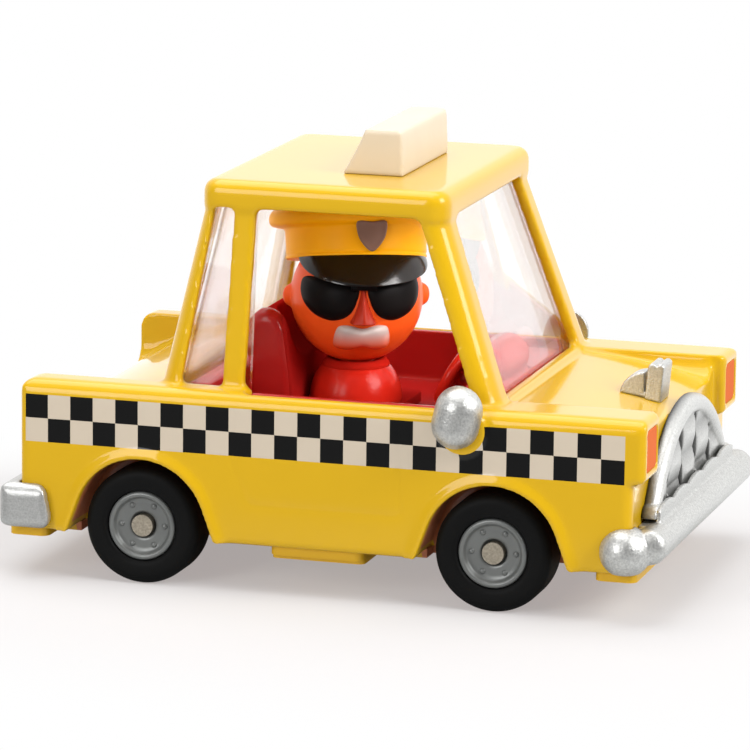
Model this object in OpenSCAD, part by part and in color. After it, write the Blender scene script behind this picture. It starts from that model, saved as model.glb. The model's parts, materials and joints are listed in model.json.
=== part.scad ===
// Toy taxi: a die-cast body on a base plate, with a driver whose head turns and two rolling wheelsets.
// The nose points along +X, the driver's left is +Y, and the tyres stand on z = 0.

/* [Wheels] */
// Distance between the two axles
wheelbase = 56; // [50:0.5:64]
// Outer diameter of a tyre
tyre_d = 18.3; // [15:0.1:19]
// Width of a tyre across its tread
tyre_w = 7.4; // [5:0.1:8.4]
// Diameter of the grey hub inside the tyre
hub_d = 10.8; // [9:0.1:12]
// Diameter of the steel axle
axle_d = 3.4; // [2:0.1:3.6]
// Running gap around the axle in its bearing
axle_play = 0.06; // [0.02:0.01:0.1]
// How far a tyre sits inside the body side
wheel_inset = 0.6; // [0.2:0.1:2]
// Free room between a wheel and the wall of its well
wheel_room = 1.2; // [0.8:0.1:2]

/* [Body] */
// Width across the flat body sides
body_w = 63.1; // [58:0.1:70]
// Rear axle to the rear bumper's back
rear_overhang = 22.7; // [21.5:0.1:26]
// Front axle to the front bumper's face
front_overhang = 26.6; // [26:0.1:30]
// Rear bumper's back to the body's rear face
rear_stand = 3; // [2:0.1:4]
// Front bumper's face to the body's front panel
front_stand = 5; // [4.6:0.1:6]
// Height of the body's lower edge
sill_z = 7.6; // [6.6:0.1:7.8]
// Height of the fenders and the belt line
belt_z = 31.2; // [30:0.1:34.5]
// Wall of the body casting
wall = 1.8; // [1.2:0.1:2.2]
// Round along the shoulders
shoulder_r = 2.2; // [1:0.1:3]
// Round along the lower edge
sill_r = 0.7; // [0.3:0.1:0.9]
// Round of the four upright corners
corner_r = 1.3; // [0.8:0.1:2.4]
// Gap between a tyre and the top of its arch
arch_gap = 1.55; // [1:0.05:2.4]
// Outward lean of an arch's legs, in degrees
arch_lean = 20; // [10:1:26]
// Width of the flared lip round a wheel arch
lip_w = 1.9; // [1:0.1:2.4]
// How far the lip stands out of the body side
lip_h = 0.6; // [0.2:0.1:1]
// Width of the fins beside the hood
fin_w = 9.2; // [8.4:0.1:11]
// Width of the fins beside the trunk
tail_fin_w = 5.6; // [4.8:0.1:8]
// Round between the decks and the fins
deck_fillet = 4; // [2:0.1:4.5]
// Height of the hood at the windshield
hood_z = 30.5; // [28.6:0.1:31.6]
// Radius of the hood's curve
hood_r = 140; // [100:1:200]
// Radius of the trunk lid's curve
trunk_r = 32.5; // [30:0.5:60]
// Depth of the lamp housings in front of the front panel
pod_depth = 2; // [1:0.1:3]
// Height of the lamp housings
pod_h = 9.6; // [9:0.1:12]
// Width of the grooves round the doors
groove_w = 0.55; // [0.3:0.05:1]
// Depth of the grooves round the doors
groove_h = 0.25; // [0.1:0.05:0.5]
// How far a door's top edge lies below the belt line
door_drop = 0.2; // [0.1:0.1:1.3]

/* [Cabin] */
// Height of the roof
roof_z = 62.9; // [58.6:0.1:68]
// Ledge between the body side and the cabin's foot
ledge = 3.2; // [2:0.1:5]
// How far each cabin side leans in
side_lean = 3.3; // [1:0.1:6]
// Middle of the wheelbase to the foot of the rear window
cabin_rear = 26.6; // [24:0.1:28]
// How far the rear window leans forward
rear_lean = 6.4; // [3:0.1:10]
// Middle of the wheelbase to the foot of the windshield
cabin_front = 28.6; // [27:0.1:30]
// How far the windshield leans back
front_lean = 10.7; // [8:0.1:14]
// Thickness of the roof's edge
roof_t = 4.4; // [3.5:0.1:6]
// How far the roof stands out past the windshield
roof_peak = 0.8; // [0.4:0.1:3]
// Round of the pillars and of the roof's corners
pillar_r = 3; // [2:0.1:4]
// Round along the roof's edge
roof_r = 2; // [1:0.1:2.4]
// Width of the pillars
pillar_w = 3.4; // [2.6:0.1:4.5]
// Width of the windshield's corner posts, seen from the front
post_w = 6.2; // [4.5:0.1:8]
// Thickness of the clear panes
glass_t = 1; // [0.7:0.1:1.4]

/* [Driver] */
// Middle of the wheelbase back to the driver
driver_back = 2.9; // [2:0.1:5]
// Radius of the round head
head_r = 10.4; // [9:0.1:11.4]
// Height of the head's middle
head_z = 41.5; // [40:0.1:43]
// Direction that the face looks at rest, right of straight ahead
face_turn = 65; // [0:1:90]
// How far the cap is pushed back on the head, in degrees
cap_tilt = 13; // [0:1:16]
// Diameter of the neck pin
neck_d = 4.8; // [3:0.1:6]
// Running gap round the neck pin
neck_play = 0.08; // [0.02:0.01:0.1]
// Gap between the head and the collar
collar_gap = 0.4; // [0.3:0.05:0.8]
// Width of the seat
seat_w = 20; // [16:0.5:22]
// Height of the seat's back above the floor
seat_h = 16.8; // [12:0.1:18]
// Thickness of the seat's back
seat_back_t = 6.8; // [4:0.1:8]
// Outer diameter of the steering wheel
steer_d = 10.6; // [9:0.1:11]
// Thickness of the steering wheel's rim
steer_t = 1.8; // [1:0.1:2]

/* [Trim] */
// Height of the bumpers
bumper_h = 7.2; // [6:0.1:8]
// Height of the bumpers' middle
bumper_z = 11.4; // [11.2:0.1:12.4]
// How far the rear bumper stands out of the body sides
bumper_wrap = 2; // [1:0.1:2.5]
// How far the rear bumper reaches round the body's corners
bumper_reach = 5.8; // [4.5:0.1:6.2]
// Number of teeth in the grille
tooth_count = 5; // [3:1:8]
// Half width of the grille at its foot
grille_half = 25; // [22:0.5:27]
// Height of the grille's crown
grille_top = 29.1; // [26.6:0.1:30]
// Thickness of the grille's round rim
rim_t = 3; // [2.4:0.1:4]
// How far the grille's rim stands out of the front panel
rim_out = 2.4; // [2:0.1:2.8]
// Width of a lamp
lamp_w = 6.5; // [5:0.1:7]
// Width of a tail lamp
tail_lamp_w = 3; // [2:0.1:3.6]
// Height of a lamp
lamp_h = 6.4; // [5:0.1:8]
// Width of the roof sign
sign_w = 25.6; // [20:0.1:32]
// Height of the roof sign
sign_h = 6.7; // [5:0.1:9]
// Depth of the roof sign at its foot
sign_d = 10.4; // [8:0.1:13]
// Width of a wing mirror
mirror_w = 7.4; // [6:0.1:8]
// Height of a wing mirror
mirror_h = 9.8; // [8.2:0.1:11]
// Forward lean of a wing mirror, in degrees
mirror_lean = 13; // [0:1:20]
// How far a wing mirror stands out of the body side
mirror_out = 4.4; // [3:0.1:6]

/* [Fastening] */
// Diameter of the locating pegs of the trim
peg_d = 2; // [1.4:0.1:2.4]
// Length of the locating pegs
peg_l = 1.4; // [1:0.1:1.6]
// Diameter of the screw thread in the base
screw_d = 2.4; // [2:0.1:3]
// Diameter of a screw head
screw_head_d = 4.8; // [4:0.1:5.4]
// Gap left where fixed pieces seat in each other
seat_gap = 0.05; // [0.02:0.01:0.1]
// Thickness of the base plate
plate_t = 1.4; // [1.2:0.1:1.8]

/* [Hidden] */
$fn = 64;
eps = 0.01;
far = 200;

// Places along the car
half_w = body_w / 2;
rear_x = rear_overhang - (rear_overhang + wheelbase + front_overhang) / 2;
front_x = rear_x + wheelbase;
mid_x = (rear_x + front_x) / 2;
tail_x = rear_x - rear_overhang;
nose_x = front_x + front_overhang;
back_x = tail_x + rear_stand;
panel_x = nose_x - front_stand;
pod_x = panel_x + pod_depth;

// Wheels and their wells
axle_z = tyre_d / 2;
arch_r = axle_z + arch_gap;
wheel_face = half_w - wheel_inset;
wheel_back = wheel_face - tyre_w;
well_in = wheel_back - wheel_room;
well_wall = 1.4;
well_top = axle_z + arch_r + well_wall;
lug_t = 2.5;
lug_out = well_in - well_wall - 0.9;

// Fins and decks
fin_in = half_w - fin_w;
tail_fin_in = half_w - tail_fin_w;
hood_slope_x = 8;
hood_c = [mid_x + cabin_front - hood_slope_x, hood_z - sqrt(pow(hood_r, 2) - pow(hood_slope_x, 2))];
trunk_c = [mid_x - cabin_rear, hood_z - trunk_r];

// Cabin
foot_z = belt_z - 2;
cabin_top = roof_z - roof_t + 1;
foot_half = half_w - ledge;
sill_win_z = belt_z + 0.1;
door_sill = belt_z - door_drop;
head_win_z = roof_z - roof_t + 0.2;
pane_gap = 0.05;
pane_edge = max(pillar_r, wall + pane_gap + 0.6) + 0.3;
pane_low = belt_z - 1.4;
pane_high = cabin_top - 0.6;
door_post = mid_x - 13.4;
post_slant = 0.9;
front_pillar = pillar_w + 0.6;
window_r = 1.2;

// Interior and driver
tub_z = well_top + 0.2;
tub_t = 1.4;
floor_z = tub_z + tub_t;
tub_half = foot_half - wall - glass_t - 0.6;
tray_half = half_w - wall - 0.4;
tray_rim = belt_z - wall - 0.4;
tub_back = mid_x - cabin_rear + wall + glass_t + 1.2;
tub_nose = mid_x + cabin_front - wall - glass_t - 1.6;
tub_rim = belt_z + 0.4;
cushion_t = 2;
dash_x = tub_nose - 6.8;
dash_z = tub_rim - 1.4;
shelf_x = tub_back + 4;
shelf_z = tub_rim - 0.6;
driver_x = mid_x - driver_back;
seat_top_z = floor_z + cushion_t;
cap_z = head_z + 0.55 * head_r;
face = head_r / 10.4;
nose_r = 1.7 * face;
nose_z = head_z - 1.4 * face;
neck_l = 4.6;
skin = 0.06;

// Trim
grille_foot = bumper_z + bumper_h / 2 - 0.6;
grille_rise = grille_top - grille_foot;
grille_r = (pow(grille_half, 2) + pow(grille_rise, 2)) / (2 * grille_rise);
grille_cz = grille_top - grille_r;
tooth_back = 0.4;
tooth_t = 1.4;
lamp_t = 1;
lamp_edge = 1.6;
lamp_sink = 0.2;
lamp_z = belt_z - 4.96;
mirror_x = mid_x + 22.7;
mirror_z = belt_z - 1;
mirror_foot = [mirror_x + 0.5, mirror_z - 2.2];
boss_h = 0.6;
sign_x = mid_x + 7.9;
ornament_x = panel_x - 2.8;
screw_x = [back_x + 5.6, panel_x - 5.6];

// Reusable outlines and placing

module along_x(x0, x1) {
    translate([x0, 0, 0]) rotate([90, 0, 90]) linear_extrude(x1 - x0) children();
}

module along_y(y0, y1) {
    translate([0, y1, 0]) rotate([90, 0, 0]) linear_extrude(y1 - y0) children();
}

module along_z(z0, z1) {
    translate([0, 0, z0]) linear_extrude(z1 - z0) children();
}

module both_sides() {
    children();
    mirror([0, 1, 0]) children();
}

// Rectangle with one radius at its upper and one at its lower corners
module round_rect(x0, x1, y0, y1, upper, lower) {
    translate([x0, y0 + lower]) square([x1 - x0, y1 - y0 - upper - lower]);
    translate([x0 + lower, y0]) square([x1 - x0 - 2 * lower, lower + eps]);
    translate([x0 + upper, y1 - upper - eps]) square([x1 - x0 - 2 * upper, upper + eps]);
    for (x = [x0 + upper, x1 - upper]) translate([x, y1 - upper]) circle(upper);
    for (x = [x0 + lower, x1 - lower]) translate([x, y0 + lower]) circle(lower);
}

// Outline whose corners are rounded by arcs of radius r
function unit(v) = v / norm(v);
function corner_arc(a, b, c, r, n = 5) =
    let (u = unit(a - b), v = unit(c - b), half = acos(u * v) / 2)
    let (m = b + unit(u + v) * r / sin(half))
    let (p = b + u * r / tan(half) - m, q = b + v * r / tan(half) - m)
    let (from = atan2(p[1], p[0]), turn = atan2(p[0] * q[1] - p[1] * q[0], p * q))
    [for (i = [0 : n]) m + r * [cos(from + turn * i / n), sin(from + turn * i / n)]];
function rounded(pts, r) =
    let (k = len(pts))
    [for (i = [0 : k - 1]) each corner_arc(pts[(i + k - 1) % k], pts[i], pts[(i + 1) % k], r)];

module block(x0, x1, y0, y1, z0, z1) {
    translate([x0, y0, z0]) cube([x1 - x0, y1 - y0, z1 - z0]);
}

// Round bar across the car
module bar_y(x, z, r, y0, y1) {
    translate([x, y1, z]) rotate([90, 0, 0]) cylinder(r = r, h = y1 - y0, $fn = r > 20 ? 720 : 64);
}

// Locating peg along +X, +Y or +Z, with its hole when gap is above zero
module peg(at, axis, gap = 0) {
    turn = axis == "x" ? [0, 90, 0] : axis == "y" ? [-90, 0, 0] : [0, 0, 0];
    translate(at) rotate(turn) cylinder(d = peg_d + 2 * gap, h = peg_l + (gap > 0 ? gap : eps));
}

// Body casting

module body_section() {
    round_rect(-half_w, half_w, sill_z, belt_z, shoulder_r, sill_r);
}

module body_block() {
    intersection() {
        along_x(back_x, panel_x) body_section();
        along_y(-half_w, half_w) round_rect(back_x, panel_x, sill_z, belt_z, shoulder_r, sill_r);
        along_z(sill_z, belt_z) round_rect(back_x, panel_x, -half_w, half_w, corner_r, corner_r);
    }
}

// Lamp housing at the front end of a fin
module lamp_pod() {
    pod_r = 1;
    pod_back = panel_x - corner_r - 2;
    intersection() {
        along_x(pod_back, pod_x) body_section();
        along_y(fin_in, half_w) round_rect(pod_back, pod_x, belt_z - pod_h, belt_z, pod_r, pod_r);
        along_z(belt_z - pod_h, belt_z) round_rect(pod_back, pod_x, fin_in, half_w, pod_r, pod_r);
    }
}

// Trough between a pair of fins, with a round in its lower corners
module trough(half, low) {
    top = belt_z + deck_fillet;
    polygon(concat([[-half, top]],
        corner_arc([-half, top], [-half, low], [half, low], deck_fillet),
        corner_arc([-half, low], [half, low], [half, top], deck_fillet),
        [[half, top]]));
}

// Everything above the hood and the trunk lid between the fins, grown by a wall
module above_decks(grow) {
    difference() {
        along_x(mid_x + cabin_front - 4, pod_x + eps) trough(fin_in + grow, deck_z(panel_x) - grow);
        bar_y(hood_c[0], hood_c[1], hood_r - grow, -far, far);
    }
    difference() {
        along_x(back_x - eps, mid_x - cabin_rear + 3) trough(tail_fin_in + grow, lid_z(back_x) - grow);
        bar_y(trunk_c[0], trunk_c[1], trunk_r - grow, -far, far);
    }
}
function deck_z(x) = hood_c[1] + sqrt(pow(hood_r, 2) - pow(x - hood_c[0], 2));
function lid_z(x) = trunk_c[1] + sqrt(pow(trunk_r, 2) - pow(x - trunk_c[0], 2));

// Hollow for a wheel, or its wall when grown
module wheel_well(x, y_in, grow) {
    bar_y(x, axle_z, arch_r + grow, y_in, half_w + 2);
    along_y(y_in, half_w + 2) arch_legs(x, grow);
}

// Half width of an arch of radius r at a height
function arch_foot(r, z) = r * cos(arch_lean) + (r * sin(arch_lean) + axle_z - z) * tan(arch_lean);

// Straight legs that run off the arch's round
module arch_legs(x, grow) {
    r = arch_r + grow;
    top = axle_z + r * sin(arch_lean);
    foot = arch_foot(r, sill_z - 1);
    polygon([[x - r * cos(arch_lean), top], [x - foot, sill_z - 1],
        [x + foot, sill_z - 1], [x + r * cos(arch_lean), top]]);
}

module arch_slice(x, grow, y0, y1) {
    along_y(y0, y1) {
        translate([x, axle_z]) circle(arch_r + grow, $fn = 48);
        arch_legs(x, grow);
    }
}

// Lip that flares out of the side towards the edge of the arch
module arch_lip(x) {
    edge = 0.4;
    intersection() {
        hull() {
            arch_slice(x, lip_w, half_w - wall / 2, half_w);
            arch_slice(x, edge, half_w, half_w + lip_h);
        }
        block(back_x + bumper_reach + seat_gap, far, 0, far, sill_z, far);
    }
}

// Cabin form, drawn in by inset all round
module cabin(inset, z0, z1) {
    r = max(pillar_r - inset, 0.6);
    for_z = [z0, z1];
    hull() for (z = for_z) {
        lift = (z - foot_z) / (cabin_top - foot_z);
        x0 = mid_x - cabin_rear + rear_lean * lift + inset + r;
        x1 = mid_x + cabin_front - front_lean * lift - inset - r;
        y1 = foot_half - side_lean * lift - inset - r;
        for (x = [x0, x1], y = [-y1, y1])
            translate([x, y, z - (z == z1 ? eps : 0)]) cylinder(r = r, h = eps, $fn = 32);
    }
}

module roof() {
    top_half = foot_half - side_lean + 0.5;
    x0 = mid_x - cabin_rear + rear_lean - 0.4 + pillar_r;
    x1 = mid_x + cabin_front - front_lean + roof_peak - pillar_r;
    hull() for (x = [x0, x1], y = [-top_half + pillar_r, top_half - pillar_r]) translate([x, y, 0]) {
        translate([0, 0, roof_z - roof_t]) cylinder(r = pillar_r, h = roof_t - roof_r, $fn = 32);
        for (a = [0 : 15 : 75]) translate([0, 0, roof_z - roof_r + roof_r * sin(a)])
            cylinder(r1 = pillar_r - roof_r * (1 - cos(a)), r2 = pillar_r - roof_r * (1 - cos(a + 15)),
                h = roof_r * (sin(a + 15) - sin(a)), $fn = 32);
    }
}

function cabin_x(side, z) = let (lift = (z - foot_z) / (cabin_top - foot_z))
    side < 0 ? mid_x - cabin_rear + rear_lean * lift : mid_x + cabin_front - front_lean * lift;
function cabin_y(z) = foot_half - side_lean * (z - foot_z) / (cabin_top - foot_z);

module quarter_window() {
    polygon(rounded([
        [cabin_x(-1, sill_win_z) + pillar_w, sill_win_z],
        [door_post - pillar_w / 2 - post_slant, sill_win_z],
        [door_post - pillar_w / 2, head_win_z],
        [cabin_x(-1, head_win_z) + pillar_w * 0.6, head_win_z]], window_r / 2));
}

module door_window() {
    polygon(rounded([
        [door_post + pillar_w / 2 - post_slant, door_sill],
        [cabin_x(1, door_sill) - front_pillar, door_sill],
        [cabin_x(1, head_win_z) - front_pillar, head_win_z],
        [door_post + pillar_w / 2, head_win_z]], window_r));
}

// Length of a door's open top, drawn in at both ends
module door_span(inset, y0, y1, z0, z1) {
    block(door_post + pillar_w / 2 + inset, cabin_x(1, door_sill) - front_pillar - inset, y0, y1, z0, z1);
}

module end_window(low_z) {
    low = cabin_y(low_z) - post_w;
    high = cabin_y(head_win_z) - post_w;
    polygon(rounded([[-low, low_z], [low, low_z], [high, head_win_z], [-high, head_win_z]], window_r));
}

// Door outline on the body side
module door_outline(inset) {
    polygon(rounded([
        [door_post - 0.2 + inset, belt_z - 2.5],
        [door_post - 0.2 + inset, belt_z - 11.3 + inset * 0.4],
        [door_post + 2.8 + inset * 0.6, belt_z - 17.4 + inset],
        [mid_x + 13.9 - inset, belt_z - 17.4 + inset],
        [mid_x + 13.9 - inset, belt_z - 2.5]], 0.6));
}

module screw_boss(x) {
    translate([x, 0, sill_z]) cylinder(d = screw_d + 3.6, h = belt_z - sill_z);
}

module body_solid() {
    difference() {
        union() {
            difference() {
                union() {
                    body_block();
                    both_sides() lamp_pod();
                }
                above_decks(0);
            }
            cabin(0, foot_z, cabin_top);
            roof();
            both_sides() {
                arch_lip(rear_x);
                arch_lip(front_x);
                mirror_boss();
            }
        }
        body_hollow();
        both_sides() {
            wheel_well(rear_x, well_in, 0);
            wheel_well(front_x, well_in, 0);
        }
    }
}

module body_hollow() {
    difference() {
        block(back_x + wall, panel_x - wall, wall - half_w, half_w - wall, sill_z - 1, belt_z - wall);
        above_decks(wall);
        both_sides() {
            wheel_well(rear_x, well_in - well_wall, well_wall);
            wheel_well(front_x, well_in - well_wall, well_wall);
        }
        for (x = screw_x) screw_boss(x);
    }
    cabin(wall, foot_z - 2, roof_z - wall - 0.5);
}

module mirror_boss() intersection() {
    translate([mirror_foot[0], half_w - wall / 2, mirror_foot[1]]) rotate([-90, 0, 0])
        cylinder(d1 = mirror_w + 1.4, d2 = mirror_w - 0.2, h = wall / 2 + boss_h);
    block(-far, far, 0, far, 0, belt_z - 0.5);
}

// Block of a lamp, or its recess when grown
module lamp_block(x0, x1, w, grow) {
    round_r = 0.8;
    along_x(x0, x1) round_rect(half_w - lamp_edge - w - grow, half_w - lamp_edge + grow,
        lamp_z - lamp_h / 2 - grow, lamp_z + lamp_h / 2 + grow, round_r, round_r);
}

module peg_holes() {
    for (y = [-sign_w / 4, sign_w / 4])
        peg([sign_x - sign_d / 2, y, roof_z - peg_l - seat_gap], "z", seat_gap);
    both_sides() {
        peg([panel_x - peg_l - seat_gap, half_w / 2, bumper_z], "x", seat_gap);
        peg([back_x, half_w / 2, bumper_z], "x", seat_gap);
        peg([mirror_foot[0], half_w + boss_h - peg_l - seat_gap, mirror_foot[1]], "y", seat_gap);
        peg([panel_x - peg_l - seat_gap, grille_half / 3, grille_top - 6], "x", seat_gap);
    }
    peg([ornament_x - 3, 0, deck_z(ornament_x - 3) - peg_l - seat_gap], "z", seat_gap);
}

module body_shell() color("gold") {
    axle_slot = axle_d + 1;
    difference() {
        body_solid();
        along_y(-half_w, half_w) quarter_window();
        along_y(-half_w, half_w) door_window();
        door_span(0.4, wall - half_w, half_w - wall, belt_z - wall - 1, door_sill + eps);
        along_x(mid_x + 5, panel_x) end_window(hood_z + 0.8);
        along_x(back_x, mid_x - 5) end_window(belt_z + 0.6);
        both_sides() {
            lamp_block(pod_x - lamp_t - lamp_sink, pod_x + 1, lamp_w, seat_gap);
            lamp_block(back_x - 1, back_x + lamp_t + lamp_sink, tail_lamp_w, seat_gap);
            along_y(half_w - groove_h, half_w + eps) difference() {
                door_outline(0);
                door_outline(groove_w);
            }
        }
        for (x = [rear_x, front_x]) block(x - axle_slot / 2, x + axle_slot / 2, -half_w, half_w,
            sill_z - 1, axle_z + axle_slot / 2);
        peg_holes();
        for (x = screw_x) translate([x, 0, sill_z - eps]) cylinder(d = screw_d + 2 * seat_gap, h = 9);
    }
}

// Base plate and its screws

module chassis_plate() color("goldenrod") {
    plate_half = half_w - 1.3;
    waist_half = half_w - 7;
    plate_z = sill_z - plate_t;
    pad_half = 7.4;
    tab_l = 6.4;
    rear_tab = back_x - 2.2;
    front_tab = panel_x + 0.6;
    difference() {
        union() {
            along_z(plate_z, sill_z) {
                round_rect(rear_tab, front_tab, -waist_half, waist_half, corner_r, corner_r);
                for (span = [[rear_tab, tab_l], [mid_x - pad_half, 2 * pad_half], [front_tab - tab_l, tab_l]])
                    round_rect(span[0], span[0] + span[1], -plate_half, plate_half, corner_r, corner_r);
            }
            along_z(plate_z - 0.7, plate_z + eps)
                round_rect(mid_x - pad_half, mid_x + pad_half, -plate_half + 1, plate_half - 1, 1, 1);
            for (x = [rear_x, front_x]) both_sides() axle_lug(x);
        }
        for (x = [rear_x, front_x]) {
            both_sides() block(x - arch_foot(arch_r, sill_z), x + arch_foot(arch_r, sill_z),
                well_in - well_wall, far, plate_z - 1, sill_z + eps);
            bar_y(x, axle_z, axle_d / 2 + axle_play, -far, far);
        }
        for (x = screw_x) translate([x, 0, 0]) {
            cylinder(d = screw_d + 2 * seat_gap, h = sill_z + 1);
            translate([0, 0, plate_z - eps]) screw_head(seat_gap);
        }
    }
}

// Upright bearing for one side of an axle
module axle_lug(x) {
    lug_w = axle_d + 4.4;
    along_y(lug_out - lug_t, lug_out) {
        translate([x - lug_w / 2, sill_z - eps]) square([lug_w, axle_z - sill_z + eps]);
        translate([x, axle_z]) circle(d = lug_w);
    }
}

module screw_head(gap) {
    cylinder(d1 = screw_head_d + 2 * gap, d2 = screw_d + 2 * gap, h = plate_t * 0.8);
}

module chassis_screws() color("silver") for (x = screw_x) translate([x, 0, sill_z - plate_t]) difference() {
    union() {
        screw_head(0);
        cylinder(d = screw_d, h = plate_t + 8);
    }
    for (a = [0, 90]) rotate(a) translate([-screw_head_d / 4, -0.3, -eps]) cube([screw_head_d / 2, 0.6, 0.5]);
}

// Clear panes behind the openings

module pane_shell(z0, z1) {
    difference() {
        cabin(wall + pane_gap, z0, z1);
        cabin(wall + pane_gap + glass_t, z0 - 1, z1 + 1);
    }
}

module windshield_glass() color("aliceblue", 0.4) {
    low = cabin_y(pane_low) - pane_edge;
    high = cabin_y(pane_high) - pane_edge;
    intersection() {
        pane_shell(pane_low, pane_high);
        along_x(cabin_x(1, pane_high) - wall - glass_t - 3, panel_x)
            polygon([[-low, pane_low], [low, pane_low], [high, pane_high], [-high, pane_high]]);
    }
}

module rear_glazing() color("aliceblue", 0.4) intersection() {
    pane_shell(pane_low, pane_high);
    block(-far, door_post + pillar_w / 2 - 0.3, -far, far, pane_low, pane_high);
}

// Interior

module tub_outline(half, inset) {
    round_rect(tub_back + inset, tub_nose - inset, inset - half, half - inset, 2, 2);
}

module interior_tub() color("firebrick") {
    cowl_r = 3.6;
    cowl_x = tub_nose - cowl_r - 0.6;
    cowl_z = tub_rim + 0.8;
    cowl_half = 6;
    lining_gap = 0.8;
    lining_drop = 0.1;
    difference() {
        along_z(tub_z, tray_rim) tub_outline(tray_half, 0);
        intersection() {
            along_z(floor_z, far) tub_outline(tray_half, tub_t);
            block(shelf_x, dash_x, -far, far, 0, far);
        }
    }
    intersection() {
        along_z(tray_rim - eps, far) tub_outline(tub_half, 0);
        union() {
            block(dash_x, far, -far, far, 0, dash_z);
            block(-far, shelf_x, -far, far, 0, shelf_z);
        }
    }
    both_sides() door_span(lining_gap, tray_half - tub_t, tray_half, tray_rim - eps, door_sill - lining_drop);
    difference() {
        union() {
            bar_y(cowl_x, cowl_z, cowl_r, -cowl_half, cowl_half);
            for (y = [-cowl_half, cowl_half]) translate([cowl_x, y, cowl_z]) sphere(cowl_r);
        }
        block(-far, far, -far, far, 0, dash_z);
    }
}

// Seat with a hollow in its back, clear of the turning head and of the driver's back
module driver_seat() color("red") {
    rake = 1.6;
    back_r = 2.6;
    side_r = 3.4;
    head_room = 2.2 * face;
    seat_front = driver_x + 8;
    seat_back_x = shelf_x + 0.3;
    top = floor_z + seat_h;
    difference() {
        intersection() {
            along_y(-seat_w / 2, seat_w / 2) polygon(concat(
                [[seat_front, floor_z], [seat_front, seat_top_z]],
                [[seat_back_x + seat_back_t + rake, seat_top_z]],
                corner_arc([seat_back_x + seat_back_t + rake, seat_top_z], [seat_back_x + seat_back_t, top],
                    [seat_back_x, top], back_r),
                corner_arc([seat_back_x + seat_back_t, top], [seat_back_x, top],
                    [seat_back_x + rake, floor_z], back_r),
                [[seat_back_x + rake, floor_z]]));
            along_x(-far, far) round_rect(-seat_w / 2, seat_w / 2, floor_z, top, side_r, 0.5);
        }
        at_driver() {
            translate([0, 0, head_z]) sphere(head_r + head_room);
            torso_form(seat_gap);
        }
    }
}

module steering_wheel() color("red") {
    tilt = 118;
    hub = steer_d * 0.22;
    difference() {
        translate([dash_x - 4.2, 0, dash_z - 0.4]) rotate([0, tilt, 0]) {
            rotate_extrude() translate([steer_d / 2 - steer_t / 2, 0]) circle(d = steer_t);
            cylinder(r = hub, h = steer_t, center = true);
            for (a = [0, 120, 240]) rotate(a) translate([0, -steer_t / 2, -steer_t / 4])
                cube([steer_d / 2 - steer_t / 2, steer_t, steer_t / 2]);
            cylinder(d = steer_t * 1.4, h = far / 10);
        }
        block(dash_x, far, -far, far, 0, far);
    }
}

// Driver

module at_driver() {
    translate([driver_x, 0, 0]) children();
}

// Frame of the face: +X looks out of the face, +Y is the driver's left
module at_face() {
    at_driver() rotate(-face_turn) children();
}

// Egg of the driver's body, grown outwards for the hollow in the seat
module torso_form(grow) {
    base_r = 7.4 * face + grow;
    neck_r = 2.4 * face + grow;
    collar = head_z - head_r + 0.8 * face;
    steps = 10;
    rotate_extrude() polygon(concat([[0, seat_top_z]], [for (i = [0 : steps]) let (t = 90 * i / steps)
        [neck_r + (base_r - neck_r) * cos(t), seat_top_z + (collar - seat_top_z) * sin(t)]], [[0, collar]]));
}

module driver_torso() color("firebrick") at_driver() {
    difference() {
        torso_form(0);
        translate([0, 0, head_z]) sphere(head_r + collar_gap);
    }
    translate([0, 0, seat_top_z + 1]) cylinder(d = neck_d, h = head_z - head_r + neck_l - seat_top_z - 1);
}

module driver_head() color("orangered") at_face() difference() {
    ear_r = 1.9 * face;
    union() {
        translate([0, 0, head_z]) sphere(head_r);
        translate([head_r, 0, nose_z]) sphere(nose_r);
        for (side = [-1, 1]) translate([-0.6 * face, side * head_r, head_z - 0.2 * face]) sphere(ear_r);
    }
    cylinder(d = neck_d + 2 * neck_play, h = head_z - head_r + neck_l + 0.4);
}

// Frame of the cap, tipped back about the middle of the head
module at_cap() {
    at_face() translate([0, 0, head_z]) rotate([0, -cap_tilt, 0]) translate([0, 0, -head_z]) children();
}

// Cap as a turned form, grown outwards for what sits on it
module cap_form(grow) {
    band_h = 2.8 * face;
    band_r = head_r + 0.4 + grow;
    crown_z = cap_z + 0.6 * head_r;
    crown_r = head_r + 1.5 + grow;
    top_z = crown_z + 2.5 * face + grow;
    rotate_extrude() polygon([
        [0, cap_z], [band_r, cap_z], [band_r, cap_z + band_h],
        [(band_r + crown_r) / 2, (cap_z + band_h + crown_z) / 2], [crown_r, crown_z],
        [crown_r - 0.4, crown_z + 0.3 * (top_z - crown_z)], [head_r - 1, crown_z + 0.7 * (top_z - crown_z)],
        [head_r * 0.5, crown_z + 0.9 * (top_z - crown_z)], [0, top_z]]);
}

module driver_cap() color("gold") difference() {
    at_cap() cap_form(0);
    at_driver() translate([0, 0, head_z]) sphere(head_r + skin);
}

// Peak as a steep cone under the band, trimmed to a crescent by a cylinder set forward
module cap_peak() color("black") {
    root = head_r - 1;
    tip = head_r + 6;
    fall = 1.8;
    peak_t = 2;
    forward = 0.24 * head_r;
    root_z = cap_z + 2.8;
    tip_z = root_z - fall * (tip - root);
    difference() {
        at_cap() difference() {
            intersection() {
                rotate_extrude() polygon([[root, root_z - peak_t], [tip, tip_z - peak_t], [tip, tip_z],
                    [root, root_z]]);
                translate([forward, 0, 0]) cylinder(r = head_r + 0.7, h = far);
                block(0, far, -far, far, 0, far);
            }
            cap_form(skin);
        }
        at_driver() translate([0, 0, head_z]) sphere(head_r + skin);
    }
}

// Thin layer on the head inside an outline seen from the front
module face_patch(thick) {
    intersection() {
        translate([0, 0, head_z]) difference() {
            sphere(head_r + thick);
            sphere(head_r + skin);
        }
        along_x(0, far) translate([0, head_z]) scale(face) children();
    }
}

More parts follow.
